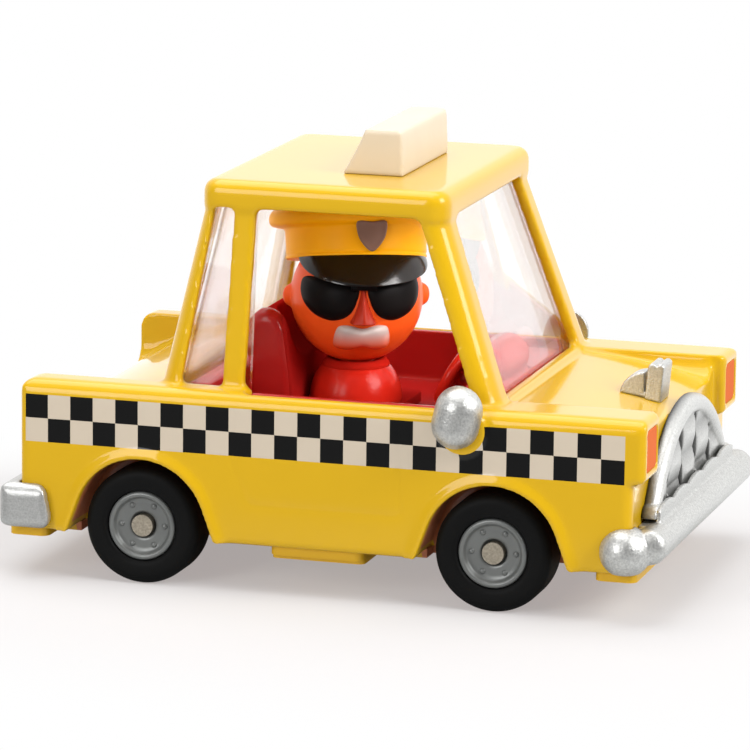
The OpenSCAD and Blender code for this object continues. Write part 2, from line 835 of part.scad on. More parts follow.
module cap_badge() color("silver") at_cap() intersection() {
    difference() {
        cap_form(0.7);
        cap_form(skin);
    }
    along_x(0, far) translate([0, cap_z + 3.4 * face]) scale(face) polygon(rounded(
        [[-2.5, 2.5], [-2.5, -0.4], [0, -2.7], [2.5, -0.4], [2.5, 2.5]], 0.5));
}

// Two lenses and their bridge as one outline
module sunglasses() color("black") at_face() difference() {
    lens = [[9.2, 0.8], [7.4, -1.6], [4.4, -2.3], [2, -1], [0.8, 1.6]];
    other = [for (i = [len(lens) - 1 : -1 : 0]) [-lens[i][0], lens[i][1]]];
    face_patch(0.9) polygon(rounded(concat([[-9.2, 3.4], [9.2, 3.4]], lens, other), 0.5));
    translate([head_r, 0, nose_z]) sphere(nose_r + skin);
}

module moustache() color("lightgray") at_face() difference() {
    face_patch(1.3) polygon(rounded([[-4.4, -6.2], [-3.6, -4], [0, -3.2], [3.6, -4], [4.4, -6.2],
        [2.4, -6.5], [0, -5.6], [-2.4, -6.5]], 0.5));
    translate([head_r, 0, nose_z]) sphere(nose_r + skin);
}

// Silver trim

// Bar with a ball at either end and a scalloped lip along its top, in front of the grille
module front_bumper() color("silver") {
    ball_r = bumper_h / 2 + 0.7;
    ball_z = bumper_z - 0.2;
    low = bumper_z - bumper_h / 4;
    high = bumper_z + bumper_h / 2;
    reach = half_w - 1.2;
    face_r = 2;
    end_r = 4.4;
    ledge_x = panel_x + rim_out + 0.1;
    scallop_t = 1.1;
    scallop_rise = 2.4;
    scallop_dip = 0.8;
    pitch = 2 * grille_half / tooth_count;
    scallop_r = (pow(pitch / 2, 2) + pow(scallop_dip, 2)) / (2 * scallop_dip);
    difference() {
        union() {
            intersection() {
                along_y(-reach, reach) round_rect(panel_x - 8, nose_x, low, high, face_r, face_r);
                along_z(low, high) round_rect(panel_x - 8, nose_x, -reach, reach, end_r, end_r);
                along_x(panel_x, nose_x) round_rect(-reach, reach, low, high, face_r, face_r);
            }
            both_sides() translate([panel_x - 1, half_w - 1.6, ball_z]) sphere(ball_r);
            intersection() {
                for (i = [0 : tooth_count - 1]) along_x(ledge_x, ledge_x + scallop_t)
                    translate([(i - (tooth_count - 1) / 2) * pitch, high + scallop_rise - scallop_r])
                        circle(scallop_r, $fn = 256);
                block(0, far, -grille_half, grille_half, high - 2, far);
            }
        }
        block(back_x, panel_x, -half_w, half_w, 0, far);
        block(back_x, far, -far, far, 0, sill_z + 0.1);
    }
    both_sides() peg([panel_x - peg_l, half_w / 2, bumper_z], "x");
}

module grille_outline(inset) {
    intersection() {
        translate([0, grille_cz]) circle(grille_r - inset, $fn = 128);
        translate([-far, grille_foot + 0.65]) square([2 * far, far]);
    }
}

// Side profile of a tooth: facets that step in and out up its height
module tooth_profile(first) {
    facet_h = 3;
    count = ceil(grille_rise / facet_h) + 1;
    top = grille_foot + count * facet_h;
    polygon(concat([[panel_x, top], [panel_x, grille_foot]], [for (i = [0 : count])
        [panel_x + tooth_back + tooth_t * ((i + first) % 2 == 0 ? 0.5 : 1), grille_foot + i * facet_h]]));
}

// One tooth of the grille, bulging across its width and faceted up its height
module grille_tooth(i) {
    pitch = 2 * (grille_half - rim_t / 2) / tooth_count;
    groove = 1.4;
    bulge = 0.4;
    r = (pow(pitch / 2, 2) + pow(bulge, 2)) / (2 * bulge);
    y = (i - (tooth_count - 1) / 2) * pitch;
    intersection() {
        translate([panel_x + tooth_back + tooth_t - r, y, 0]) cylinder(r = r, h = far, $fn = 360);
        along_y(y - (pitch - groove) / 2, y + (pitch - groove) / 2) tooth_profile(i);
    }
}

// Round rim that stands out past a back plate with bulging teeth
module front_grille() color("silver") {
    foot = grille_foot + 0.65;
    difference() {
        union() {
            translate([panel_x, 0, grille_cz]) rotate([90, 0, 90]) rotate_extrude($fn = 128)
                translate([grille_r - rim_t, 0]) {
                    translate([rim_t / 2, rim_out - rim_t / 2]) circle(d = rim_t);
                    square([rim_t, rim_out - rim_t / 2]);
                }
            both_sides() translate([0, grille_half - rim_t / 2, foot]) rotate([0, 90, 0])
                translate([0, 0, panel_x]) cylinder(d = rim_t + 0.8, h = rim_out);
        }
        block(0, far, -far, far, -far, foot);
        block(0, panel_x, -far, far, -far, far);
    }
    intersection() {
        along_x(panel_x, panel_x + rim_out) grille_outline(rim_t / 2);
        union() {
            block(panel_x, panel_x + tooth_back, -far, far, 0, far);
            for (i = [0 : tooth_count - 1]) grille_tooth(i);
        }
    }
    both_sides() peg([panel_x - peg_l, grille_half / 3, grille_top - 6], "x");
}

module rear_bumper() color("silver") {
    low = bumper_z - bumper_h / 2;
    high = bumper_z + bumper_h / 2;
    reach = half_w + bumper_wrap;
    edge = 2;
    slant = 1.4;
    front = back_x + bumper_reach;
    difference() {
        intersection() {
            along_y(-reach, reach) polygon(rounded([[tail_x, low], [front, low], [front - slant, high],
                [tail_x, high]], edge));
            along_z(low, high) round_rect(tail_x, front, -reach, reach, edge, edge);
            along_x(tail_x, front) round_rect(-reach, reach, low, high, edge, edge);
        }
        block(back_x, panel_x, -half_w, half_w, 0, far);
    }
    both_sides() peg([back_x - eps, half_w / 2, bumper_z], "x");
}

// Half egg that stands on its boss
module wing_mirror() {
    r = mirror_w / 2;
    face_y = half_w + boss_h;
    y = half_w + mirror_out - r;
    difference() {
        translate([mirror_x, y, mirror_z]) rotate([0, mirror_lean, 0]) {
            for (dz = [r - mirror_h / 2, mirror_h / 2 - r]) translate([0, 0, dz]) sphere(r);
            translate([0, 0, r - mirror_h / 2]) cylinder(r = r, h = mirror_h - 2 * r);
        }
        block(-far, far, -far, face_y, 0, far);
    }
    peg([mirror_foot[0], face_y - peg_l, mirror_foot[1]], "y");
}

module hood_ornament() color("silver") {
    tail_l = 4;
    tail_half = 1.9;
    post_t = 2.6;
    post_half = 2.8;
    rise = 5.4;
    lean = 0.7;
    rib_r = post_t / 4;
    front = ornament_x;
    top = deck_z(front) + rise;
    difference() {
        union() {
            intersection() {
                bar_y(front - post_t, deck_z(front - post_t), tail_l, -tail_half, tail_half);
                block(front - post_t - tail_l, front - post_t + eps, -tail_half, tail_half, 0, far);
            }
            along_y(-post_half, post_half) polygon([[front - post_t, deck_z(front) - 2],
                [front, deck_z(front) - 2], [front + lean, top], [front + lean - post_t, top]]);
            for (i = [1, 3]) bar_y(front + lean - i * rib_r, top, rib_r, -post_half, post_half);
        }
        bar_y(hood_c[0], hood_c[1], hood_r, -far, far);
    }
    peg([ornament_x - 3, 0, deck_z(ornament_x - 3) - peg_l], "z");
}

// Lamps

module headlamp() color("tomato") lamp_block(pod_x - lamp_t - lamp_sink, pod_x - lamp_sink, lamp_w, 0);
module tail_lamp() color("crimson")
    lamp_block(back_x + lamp_sink, back_x + lamp_sink + lamp_t, tail_lamp_w, 0);

// Roof sign

module roof_sign() color("ivory") {
    back_lean = 3.6;
    front_tip = 0.9;
    edge = 0.6;
    intersection() {
        along_y(-sign_w / 2, sign_w / 2) polygon(rounded([[sign_x - sign_d, roof_z - 2],
            [sign_x, roof_z - 2], [sign_x + front_tip, roof_z + sign_h],
            [sign_x - sign_d + back_lean, roof_z + sign_h]], edge));
        block(-far, far, -far, far, roof_z, far);
    }
    for (y = [-sign_w / 4, sign_w / 4]) peg([sign_x - sign_d / 2, y, roof_z - peg_l], "z");
}

// Wheels, drawn for the left side

module axle(x) color("silver") bar_y(x, axle_z, axle_d / 2, 0.6 - wheel_face, wheel_face - 0.6);

module turned_y(x) {
    translate([x, 0, axle_z]) rotate([-90, 0, 0]) rotate_extrude() children();
}

module hub(x) {
    r = hub_d / 2;
    bore = axle_d / 2 + 0.01;
    ring = 0.9;
    face = wheel_face - 0.3;
    turned_y(x) polygon([[bore, wheel_back - 0.4], [bore + 1.6, wheel_back - 0.4],
        [bore + 1.6, wheel_back + 1.2], [r, wheel_back + 1.2], [r, face], [r - ring, face],
        [r - ring - 0.5, face - 0.7], [bore + 1.5, face - 0.4], [bore + 0.6, face - 0.4],
        [bore + 0.6, face - 1.4], [bore, face - 1.4]]);
}

module tyre(x) {
    r = tyre_d / 2;
    turned_y(x) polygon(concat([[hub_d / 2 + 0.01, wheel_back + 0.6], [hub_d / 2 + 0.6, wheel_back]],
        corner_arc([hub_d / 2, wheel_back], [r, wheel_back], [r, wheel_face], 0.9),
        corner_arc([r, wheel_back], [r, wheel_face], [hub_d / 2, wheel_face], 1.3),
        [[hub_d / 2 + 0.6, wheel_face], [hub_d / 2 + 0.01, wheel_face - 0.6]]));
}

body_shell();
chassis_plate();
chassis_screws();
windshield_glass();
rear_glazing();
interior_tub();
driver_seat();
steering_wheel();
driver_torso();
driver_head();
driver_cap();
cap_peak();
cap_badge();
sunglasses();
moustache();
front_bumper();
front_grille();
rear_bumper();
headlamp();  // headlamp_left
mirror([0, 1, 0]) headlamp();  // headlamp_right
tail_lamp();  // tail_lamp_left
mirror([0, 1, 0]) tail_lamp();  // tail_lamp_right
color("silver") wing_mirror();  // mirror_left
color("silver") mirror([0, 1, 0]) wing_mirror();  // mirror_right
hood_ornament();
roof_sign();
axle(front_x);  // front_axle
color("gray") hub(front_x);  // front_hub_left
color("gray") mirror([0, 1, 0]) hub(front_x);  // front_hub_right
color("black") tyre(front_x);  // front_tyre_left
color("black") mirror([0, 1, 0]) tyre(front_x);  // front_tyre_right
axle(rear_x);  // rear_axle
color("gray") hub(rear_x);  // rear_hub_left
color("gray") mirror([0, 1, 0]) hub(rear_x);  // rear_hub_right
color("black") tyre(rear_x);  // rear_tyre_left
color("black") mirror([0, 1, 0]) tyre(rear_x);  // rear_tyre_right
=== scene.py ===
# %% [markdown]
# # A toy taxi, dressed for its portrait
# The solids of a chunky die-cast taxi come in as a fixed frame: a casting on a base plate, a driver whose
# head turns, and two wheelsets that roll. This lesson gives every piece the soft edges, paint and moulded
# finish of the real toy. Pieces take their places from the boxes and joints of the frame.

# %% Load the frame
import json
import math

import bmesh
import bpy
from mathutils import Matrix, Vector


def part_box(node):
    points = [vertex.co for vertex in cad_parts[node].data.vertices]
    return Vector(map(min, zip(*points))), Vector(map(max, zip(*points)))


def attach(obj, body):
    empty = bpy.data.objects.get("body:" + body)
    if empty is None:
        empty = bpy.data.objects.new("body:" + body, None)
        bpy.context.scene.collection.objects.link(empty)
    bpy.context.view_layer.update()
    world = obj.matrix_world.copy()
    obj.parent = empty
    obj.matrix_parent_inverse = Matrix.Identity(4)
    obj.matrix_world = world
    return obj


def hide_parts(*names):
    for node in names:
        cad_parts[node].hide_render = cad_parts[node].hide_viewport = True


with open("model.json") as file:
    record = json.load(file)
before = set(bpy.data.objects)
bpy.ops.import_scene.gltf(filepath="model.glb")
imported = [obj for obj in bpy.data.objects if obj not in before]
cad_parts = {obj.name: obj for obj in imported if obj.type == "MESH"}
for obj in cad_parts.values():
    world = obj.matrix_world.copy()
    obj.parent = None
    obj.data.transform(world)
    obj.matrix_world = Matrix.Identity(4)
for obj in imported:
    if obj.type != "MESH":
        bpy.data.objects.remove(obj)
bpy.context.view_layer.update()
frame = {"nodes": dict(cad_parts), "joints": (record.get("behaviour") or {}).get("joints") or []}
scene = bpy.context.scene
scene.view_settings.view_transform = "Standard"
MM = 0.001
joints = {joint["name"]: Vector(joint["pos_m"]) for joint in frame["joints"]}
print("solids:", len(frame["nodes"]), "joints:", sorted(joints))

# %% [markdown]
# ## The camera
# The picture was taken with a long lens from the car's right, a little ahead of it and a little above. The
# angles, the distance and the lens below put the wheels, lamps and roof of the frame where they belong in a
# square picture. The camera's axes are written as a matrix, so that its small roll needs no extra object.

# %% Place the camera
PICTURE_PX = 750
FOCAL_PX = 5111.9
CAMERA_TURN = math.radians(16.3684)
CAMERA_RISE = math.radians(11.536)
CAMERA_ROLL = math.radians(-0.6469)
CAMERA_DISTANCE = 0.80445
CAMERA_AIM = Vector((-0.001724, 0, 0.028941))

forward = Vector((-math.sin(CAMERA_TURN) * math.cos(CAMERA_RISE),
                  math.cos(CAMERA_TURN) * math.cos(CAMERA_RISE), -math.sin(CAMERA_RISE)))
level = Vector((math.cos(CAMERA_TURN), math.sin(CAMERA_TURN), 0))
down = forward.cross(level)
right = level * math.cos(CAMERA_ROLL) + down * math.sin(CAMERA_ROLL)
up = level * math.sin(CAMERA_ROLL) - down * math.cos(CAMERA_ROLL)
camera_data = bpy.data.cameras.new("portrait_camera")
camera_data.sensor_width = 36
camera_data.lens = camera_data.sensor_width * FOCAL_PX / PICTURE_PX
camera = bpy.data.objects.new("portrait_camera", camera_data)
camera.matrix_world = Matrix((right, up, -forward)).transposed().to_4x4()
camera.location = CAMERA_AIM - forward * CAMERA_DISTANCE
scene.collection.objects.link(camera)
scene.camera = camera
print("camera at", [round(v, 3) for v in camera.location], "lens", round(camera_data.lens, 1))

# %% [markdown]
# ## Floor and light
# The toy stands in a white product studio. A flat sheet of paper is enough for the floor: it keeps the car's
# soft shadow and melts into the white round it in an oval, so part of what the camera sees of it is its own
# glow. The world is white to the camera and through glass. In reflections, floor and world are both bright
# behind the car and dim on the camera's side, which shades the paint and the silver. Three softboxes do the
# rest.

# %% A helper for node trees
def add_node(tree, kind, at=None, **values):
    """Add a node, with its inputs by name in at and its properties as keywords."""
    node = tree.nodes.new(kind)
    for name, value in (at or {}).items():
        node.inputs[name].default_value = value
    for name, value in values.items():
        setattr(node, name, value)
    return node


def calc(tree, operation, first, second=None, third=None):
    """One Math node whose operands are sockets or plain numbers."""
    node = add_node(tree, "ShaderNodeMath", operation=operation)
    for slot, operand in zip(node.inputs, (first, second, third)):
        if operand is None:
            continue
        if isinstance(operand, (int, float)):
            slot.default_value = operand
        else:
            tree.links.new(operand, slot)
    return node.outputs[0]


# %% Floor
FLOOR_HALF = 3.0
floor_mesh = bpy.data.meshes.new("studio_floor")
floor_mesh.from_pydata([(-FLOOR_HALF, -FLOOR_HALF, 0), (FLOOR_HALF, -FLOOR_HALF, 0),
                        (FLOOR_HALF, FLOOR_HALF, 0), (-FLOOR_HALF, FLOOR_HALF, 0)], [], [(0, 1, 2, 3)])
floor = bpy.data.objects.new("studio_floor", floor_mesh)
scene.collection.objects.link(floor)
print("floor:", 2 * FLOOR_HALF, "m wide")

# %% Floor paper
PAPER_BOUNCE = (0.56, 0.57, 0.575, 1)
PAPER_SEEN = (0.34, 0.345, 0.35, 1)
PAPER_GLOW = (0.39, 0.36, 0.352, 1)
MIRRORED_FLOOR = {"From Min": 0.02, "From Max": -0.06, "To Min": 0.3, "To Max": -0.65}
MELT_SQUASH, MELT_SHIFT = (0.7, 1, 1), (0, 0.012, 0)
MELT_SPAN = {"From Min": 0.045, "From Max": 0.095}
floor_paper = bpy.data.materials.new("white_paper")
floor_paper.use_nodes = True
tree = floor_paper.node_tree
tree.nodes.clear()
paper = add_node(tree, "ShaderNodeBsdfDiffuse")
glow = add_node(tree, "ShaderNodeEmission", {"Color": PAPER_GLOW})
ray = add_node(tree, "ShaderNodeLightPath")
floor_at = add_node(tree, "ShaderNodeTexCoord").outputs["Object"]
floor_xyz = add_node(tree, "ShaderNodeSeparateXYZ")
tree.links.new(floor_at, floor_xyz.inputs[0])
mirrored = add_node(tree, "ShaderNodeMapRange", MIRRORED_FLOOR)
tree.links.new(floor_xyz.outputs["Y"], mirrored.inputs["Value"])
white = add_node(tree, "ShaderNodeEmission", {"Color": (1, 1, 1, 1)})
white_level = calc(tree, "MULTIPLY_ADD", ray.outputs["Is Glossy Ray"], mirrored.outputs[0], 1.0)
tree.links.new(white_level, white.inputs["Strength"])
seen = calc(tree, "MAXIMUM", ray.outputs["Is Camera Ray"], ray.outputs["Is Transmission Ray"])
tree.links.new(seen, glow.inputs["Strength"])
shade = add_node(tree, "ShaderNodeMix", data_type="RGBA")
shade.inputs["A"].default_value = PAPER_BOUNCE
shade.inputs["B"].default_value = PAPER_SEEN
tree.links.new(seen, shade.inputs["Factor"])
tree.links.new(shade.outputs["Result"], paper.inputs["Color"])
both = add_node(tree, "ShaderNodeAddShader")
tree.links.new(paper.outputs[0], both.inputs[0])
tree.links.new(glow.outputs[0], both.inputs[1])
away = add_node(tree, "ShaderNodeVectorMath", operation="LENGTH")
oval = add_node(tree, "ShaderNodeVectorMath", operation="MULTIPLY_ADD")
oval.inputs[1].default_value = MELT_SQUASH
oval.inputs[2].default_value = MELT_SHIFT
tree.links.new(floor_at, oval.inputs[0])
tree.links.new(oval.outputs[0], away.inputs[0])
fade = add_node(tree, "ShaderNodeMapRange", MELT_SPAN, interpolation_type="SMOOTHSTEP")
tree.links.new(away.outputs["Value"], fade.inputs["Value"])
melt = add_node(tree, "ShaderNodeMixShader")
tree.links.new(fade.outputs[0], melt.inputs["Fac"])
tree.links.new(both.outputs[0], melt.inputs[1])
tree.links.new(white.outputs[0], melt.inputs[2])
tree.links.new(melt.outputs[0], add_node(tree, "ShaderNodeOutputMaterial").inputs["Surface"])
floor_mesh.materials.append(floor_paper)

# %% World
AMBIENT = 0.42
DIM_SIDE = 0.06
BACKDROP = 1.3
BEHIND_THE_CAR = {"From Min": -0.75, "From Max": 0.25, "To Min": DIM_SIDE, "To Max": BACKDROP}
OVERHEAD = {"From Min": 0.45, "From Max": 0.9}
world = bpy.data.worlds.new("white_studio")
world.use_nodes = True
scene.world = world
tree = world.node_tree
tree.nodes.clear()
ray = add_node(tree, "ShaderNodeLightPath")
way = add_node(tree, "ShaderNodeSeparateXYZ")
tree.links.new(add_node(tree, "ShaderNodeTexCoord").outputs["Generated"], way.inputs[0])
behind = add_node(tree, "ShaderNodeMapRange", BEHIND_THE_CAR, interpolation_type="SMOOTHSTEP")
tree.links.new(way.outputs["Y"], behind.inputs["Value"])
overhead = add_node(tree, "ShaderNodeMapRange", OVERHEAD, interpolation_type="SMOOTHSTEP")
tree.links.new(way.outputs["Z"], overhead.inputs["Value"])
mirrored = calc(tree, "MAXIMUM", behind.outputs[0], overhead.outputs[0])
clear = calc(tree, "MAXIMUM", ray.outputs["Is Camera Ray"], ray.outputs["Is Transmission Ray"])
glossy = ray.outputs["Is Glossy Ray"]
plain = calc(tree, "SUBTRACT", 1.0, calc(tree, "MAXIMUM", clear, glossy))
strength = calc(tree, "MAXIMUM", clear, calc(tree, "MULTIPLY", glossy, mirrored))
sky = add_node(tree, "ShaderNodeBackground", {"Color": (1, 1, 1, 1)})
tree.links.new(calc(tree, "MULTIPLY_ADD", plain, AMBIENT, strength), sky.inputs["Strength"])
tree.links.new(sky.outputs[0], add_node(tree, "ShaderNodeOutputWorld").inputs["Surface"])
print("world:", AMBIENT, "all round,", BACKDROP, "behind the car in reflections")


# %% Softboxes
def softbox(name, at, size, watts, aim=(0, 0, 0.03)):
    """A square area lamp that looks at the car."""
    data = bpy.data.lights.new(name, "AREA")
    data.size = size
    data.energy = watts
    lamp = bpy.data.objects.new(name, data)
    lamp.location = at
    lamp.rotation_euler = (Vector(aim) - Vector(at)).to_track_quat("-Z", "Y").to_euler()
    scene.collection.objects.link(lamp)
    return lamp


softbox("top_light", (-0.12, 0.05, 0.75), 0.65, 5.2)
softbox("side_light", (0.85, -0.2, 0.6), 0.5, 10.0)
softbox("fill_light", (-0.45, -0.95, 0.4), 0.5, 5.4)

# %% [markdown]
# ## Finishes
# Every finish is one Principled shader whose colour wanders a little with noise, in clouds or in fine flakes,
# and whose bump stands for orange peel, flakes or moulding grain. Painted textures could do it too, but noise
# needs no files and no UV map. It reads Object coordinates, so it stays put when a piece turns. A finish is
# made once and shared by all the pieces that wear it.

# %% Finish maker
PEEL_DEPTH = 0.2 * MM
GRAINS_PER_CLOUD = 10


def finish_for(name, colour, rough, spread=0.06, grain=900, bump=0.02, flaky=False, **sockets):
    """A finish whose colour varies by the share spread, in clouds or flakes, with grain waves per metre."""
    material = bpy.data.materials.new(name)
    material.use_nodes = True
    tree = material.node_tree
    shader = tree.nodes["Principled BSDF"]
    shader.inputs["Roughness"].default_value = rough
    for socket, value in sockets.items():
        shader.inputs[socket.replace("_", " ").title().replace("Ior", "IOR")].default_value = value
    place = add_node(tree, "ShaderNodeTexCoord").outputs["Object"]
    cloud = add_node(tree, "ShaderNodeTexNoise", {"Scale": grain / GRAINS_PER_CLOUD, "Detail": 3.0})
    fine = add_node(tree, "ShaderNodeTexNoise", {"Scale": grain, "Detail": 2.0})
    tree.links.new(place, cloud.inputs["Vector"])
    tree.links.new(place, fine.inputs["Vector"])
    tint = add_node(tree, "ShaderNodeValToRGB")
    tint.color_ramp.elements[0].color = (*[c * (1 - spread) for c in colour], 1)
    tint.color_ramp.elements[1].color = (*[min(1, c * (1 + spread)) for c in colour], 1)
    tree.links.new((fine if flaky else cloud).outputs["Fac"], tint.inputs["Fac"])
    tree.links.new(tint.outputs[0], shader.inputs["Base Color"])
    relief = add_node(tree, "ShaderNodeBump", {"Strength": bump, "Distance": PEEL_DEPTH})
    tree.links.new(fine.outputs["Fac"], relief.inputs["Height"])
    tree.links.new(relief.outputs[0], shader.inputs["Normal"])
    return material


def bare_finish(node, material):
    """Dress a solid whose own shape is right."""
    mesh = frame["nodes"][node].data
    mesh.materials.clear()
    mesh.materials.append(material)
    print(node, "wears", material.name)


# %% [markdown]
# ## The casting
# The body is one zinc casting under thick yellow enamel, so no edge on it is sharp. A copy of the solid is
# remeshed into small voxels, smoothed until its edges are as soft as the enamel leaves them, and thinned
# again. The solid itself stays hidden in the frame for the physics.

# %% Soft copies
def evaluated_mesh(piece):
    """The mesh that the piece's modifiers make, with the modifiers then taken off."""
    bpy.context.view_layer.update()
    mesh = bpy.data.meshes.new_from_object(piece.evaluated_get(bpy.context.evaluated_depsgraph_get()))
    piece.modifiers.clear()
    return mesh


def settle(piece, name, body, material, stands_for=()):
    """Name a finished piece, smooth it, dress it and let it ride on its body."""
    piece.name = name
    piece.data.name = name
    piece.data.materials.clear()
    piece.data.materials.append(material)
    piece.data.polygons.foreach_set("use_smooth", [True] * len(piece.data.polygons))
    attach(piece, body)
    if stands_for:
        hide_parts(*stands_for)
    print(name, "faces:", len(piece.data.polygons), "on", body)
    return piece


def merged_copy(node):
    """A free object with the solid's triangles joined at their corners."""
    shape = bmesh.new()
    shape.from_mesh(frame["nodes"][node].data)
    bmesh.ops.remove_doubles(shape, verts=shape.verts, dist=1e-6)
    mesh = bpy.data.meshes.new(node + "_copy")
    shape.to_mesh(mesh)
    shape.free()
    piece = bpy.data.objects.new(node + "_copy", mesh)
    scene.collection.objects.link(piece)
    return piece


def soften(piece, voxel, rounds, keep):
    """Remesh a piece, relax its edges and keep a share of its faces."""
    remesh = piece.modifiers.new("voxels", "REMESH")
    remesh.mode = "VOXEL"
    remesh.voxel_size = voxel
    relax = piece.modifiers.new("relax", "SMOOTH")
    relax.factor = 0.5
    relax.iterations = rounds
    if keep < 1:
        thin = piece.modifiers.new("thin", "DECIMATE")
        thin.ratio = keep
    piece.data = evaluated_mesh(piece)
    return piece


def soft_solid(node, body, material, voxel=0.3 * MM, rounds=4, keep=1.0, name=None):
    """A softened copy that stands for its solid."""
    piece = soften(merged_copy(node), voxel, rounds, keep)
    return settle(piece, name or node + "_soft", body, material, [node])


# %% [markdown]
# The sides carry a printed strip of two rows of black and ivory squares, which is plain paint on the enamel.
# So it is worked out inside the finish: a square's column and row come from the point's own x and z, and a
# disc round the mirror's foot stays yellow. The shade in the wheel wells is painted in the same way, as a
# dark red-brown in a disc round each axle.

# %% Sizes of the strip and the wells
STRIP_COLUMNS = 26
STRIP_X = (-0.04855, 0.04652)
STRIP_Z = (0.02149, 0.02893)
YELLOW = (0.6, 0.355, 0.006)
IVORY_PRINT = (0.54, 0.46, 0.36)
BLACK_PRINT = (0.002, 0.002, 0.002)
# The wells' dark red-brown is painted shade.
WELL_SHADE_BROWN = (0.5, 0.16, 0.07)
ARCH_R, BASE_WELL_R, WELL_INSET = 11.5 * MM, 13 * MM, 0.5 * MM
PRINT_DEPTH = 0.3 * MM
FOOT_AHEAD, FOOT_DOWN, FOOT_R = 0.5 * MM, 2.1 * MM, 3.65 * MM
side_y = -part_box("front_tyre_right")[0].y
mirror_low, mirror_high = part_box("mirror_right")
mirror_mid = (mirror_low + mirror_high) / 2
print("strip of", STRIP_COLUMNS, "columns on sides", round(2 * side_y / MM, 1), "mm apart")

# %% Paint masks
def between(tree, value, low, high):
    """1 where low < value < high."""
    above = calc(tree, "GREATER_THAN", value, low)
    return calc(tree, "MULTIPLY", above, calc(tree, "LESS_THAN", value, high))


def paint_over(tree, under, mask, colour):
    """Lay one flat colour over another wherever mask is 1."""
    mix = add_node(tree, "ShaderNodeMix", data_type="RGBA")
    tree.links.new(mask, mix.inputs["Factor"])
    tree.links.new(under, mix.inputs["A"])
    mix.inputs["B"].default_value = (*colour, 1)
    return mix.outputs["Result"]


def paint_well_shade(tree, under, x, z, radius, inside):
    """Lay the wells' painted shade, a dark red-brown, over a finish, in a disc round each axle, wherever
    inside is 1.
    """
    for wheel in ("front_wheels_roll", "rear_wheels_roll"):
        hub_at = joints[wheel]
        span = calc(tree, "ADD", calc(tree, "POWER", calc(tree, "SUBTRACT", x, hub_at.x), 2.0),
                    calc(tree, "POWER", calc(tree, "SUBTRACT", z, hub_at.z), 2.0))
        well_shade = calc(tree, "MULTIPLY", calc(tree, "LESS_THAN", span, radius ** 2), inside)
        under = paint_over(tree, under, well_shade, WELL_SHADE_BROWN)
    return under


def fade_to(material, axis, start, end, colour):
    """Let a finish fade to another colour along one axis of its piece."""
    tree = material.node_tree
    shader = tree.nodes["Principled BSDF"]
    spot = add_node(tree, "ShaderNodeSeparateXYZ")
    tree.links.new(add_node(tree, "ShaderNodeTexCoord").outputs["Object"], spot.inputs[0])
    share = add_node(tree, "ShaderNodeMapRange", {"From Min": start, "From Max": end})
    tree.links.new(spot.outputs[axis], share.inputs["Value"])
    under = shader.inputs["Base Color"].links[0].from_socket
    tree.links.new(paint_over(tree, under, share.outputs[0], colour), shader.inputs["Base Color"])


# %% Yellow enamel with its printed strip
enamel = finish_for("yellow_enamel", YELLOW, 0.3, spread=0.03, grain=600, bump=0.015,
                    specular_ior_level=0.1, coat_weight=0.8, coat_ior=1.35, coat_roughness=0.05)
tree = enamel.node_tree
shader = tree.nodes["Principled BSDF"]
base = shader.inputs["Base Color"].links[0].from_socket
where = add_node(tree, "ShaderNodeSeparateXYZ")
tree.links.new(add_node(tree, "ShaderNodeTexCoord").outputs["Object"], where.inputs[0])
x, y, z = where.outputs
out = calc(tree, "ABSOLUTE", y)
column = calc(tree, "FLOOR", calc(tree, "MULTIPLY", calc(tree, "SUBTRACT", x, STRIP_X[0]),
                                  STRIP_COLUMNS / (STRIP_X[1] - STRIP_X[0])))
row = calc(tree, "GREATER_THAN", z, sum(STRIP_Z) / 2)
ivory = calc(tree, "MODULO", calc(tree, "ADD", column, calc(tree, "SUBTRACT", 1.0, row)), 2.0)
strip = calc(tree, "MULTIPLY", between(tree, x, *STRIP_X), between(tree, z, *STRIP_Z))
strip = calc(tree, "MULTIPLY", strip, calc(tree, "GREATER_THAN", out, side_y - PRINT_DEPTH))
foot = calc(tree, "ADD", calc(tree, "POWER", calc(tree, "SUBTRACT", x, mirror_mid.x + FOOT_AHEAD), 2.0),
            calc(tree, "POWER", calc(tree, "SUBTRACT", z, mirror_mid.z - FOOT_DOWN), 2.0))
strip = calc(tree, "MULTIPLY", strip, calc(tree, "GREATER_THAN", foot, FOOT_R ** 2))
base = paint_over(tree, base, strip, BLACK_PRINT)
base = paint_over(tree, base, calc(tree, "MULTIPLY", strip, ivory), IVORY_PRINT)
# Painted shade in the wheel wells, inside the casting's sides.
base = paint_well_shade(tree, base, x, z, ARCH_R, calc(tree, "LESS_THAN", out, side_y - WELL_INSET))
tree.links.new(base, shader.inputs["Base Color"])

soft_solid("body_shell", "car", enamel, voxel=0.4 * MM, rounds=5, keep=0.36,
           name="body_casting")

# %% [markdown]
# ## Base plate and screws
# The base is a yellow moulding whose edge shows below the sills. Its solid has the right shape, so it only
# gets a duller moulded finish, with the wells' shade painted on it in dark red-brown near the wheels, and its
# screws a zinc one.

# %% Base plate
base_plastic = finish_for("yellow_moulding", (0.6, 0.34, 0.008), 0.38, grain=1500, bump=0.03,
                          specular_ior_level=0.3)
tree = base_plastic.node_tree
shader = tree.nodes["Principled BSDF"]
where = add_node(tree, "ShaderNodeSeparateXYZ")
tree.links.new(add_node(tree, "ShaderNodeTexCoord").outputs["Object"], where.inputs[0])
base = shader.inputs["Base Color"].links[0].from_socket
# Painted shade near the wheels, as in the casting's wells.
base = paint_well_shade(tree, base, where.outputs["X"], where.outputs["Z"], BASE_WELL_R, 1.0)
tree.links.new(base, shader.inputs["Base Color"])
zinc = finish_for("zinc_plate", (0.62, 0.62, 0.6), 0.35, grain=2500, bump=0.05, metallic=1.0)
bare_finish("chassis_plate", base_plastic)
bare_finish("chassis_screws", zinc)

# %% [markdown]
# ## Clear panes
# The windshield and the rear glazing are clear mouldings. A glass shader alone would keep the lamps' light
# out of the cabin and turn the panes' edges black. So shadow rays, and a share of all others, go straight
# through a transparent shader instead.

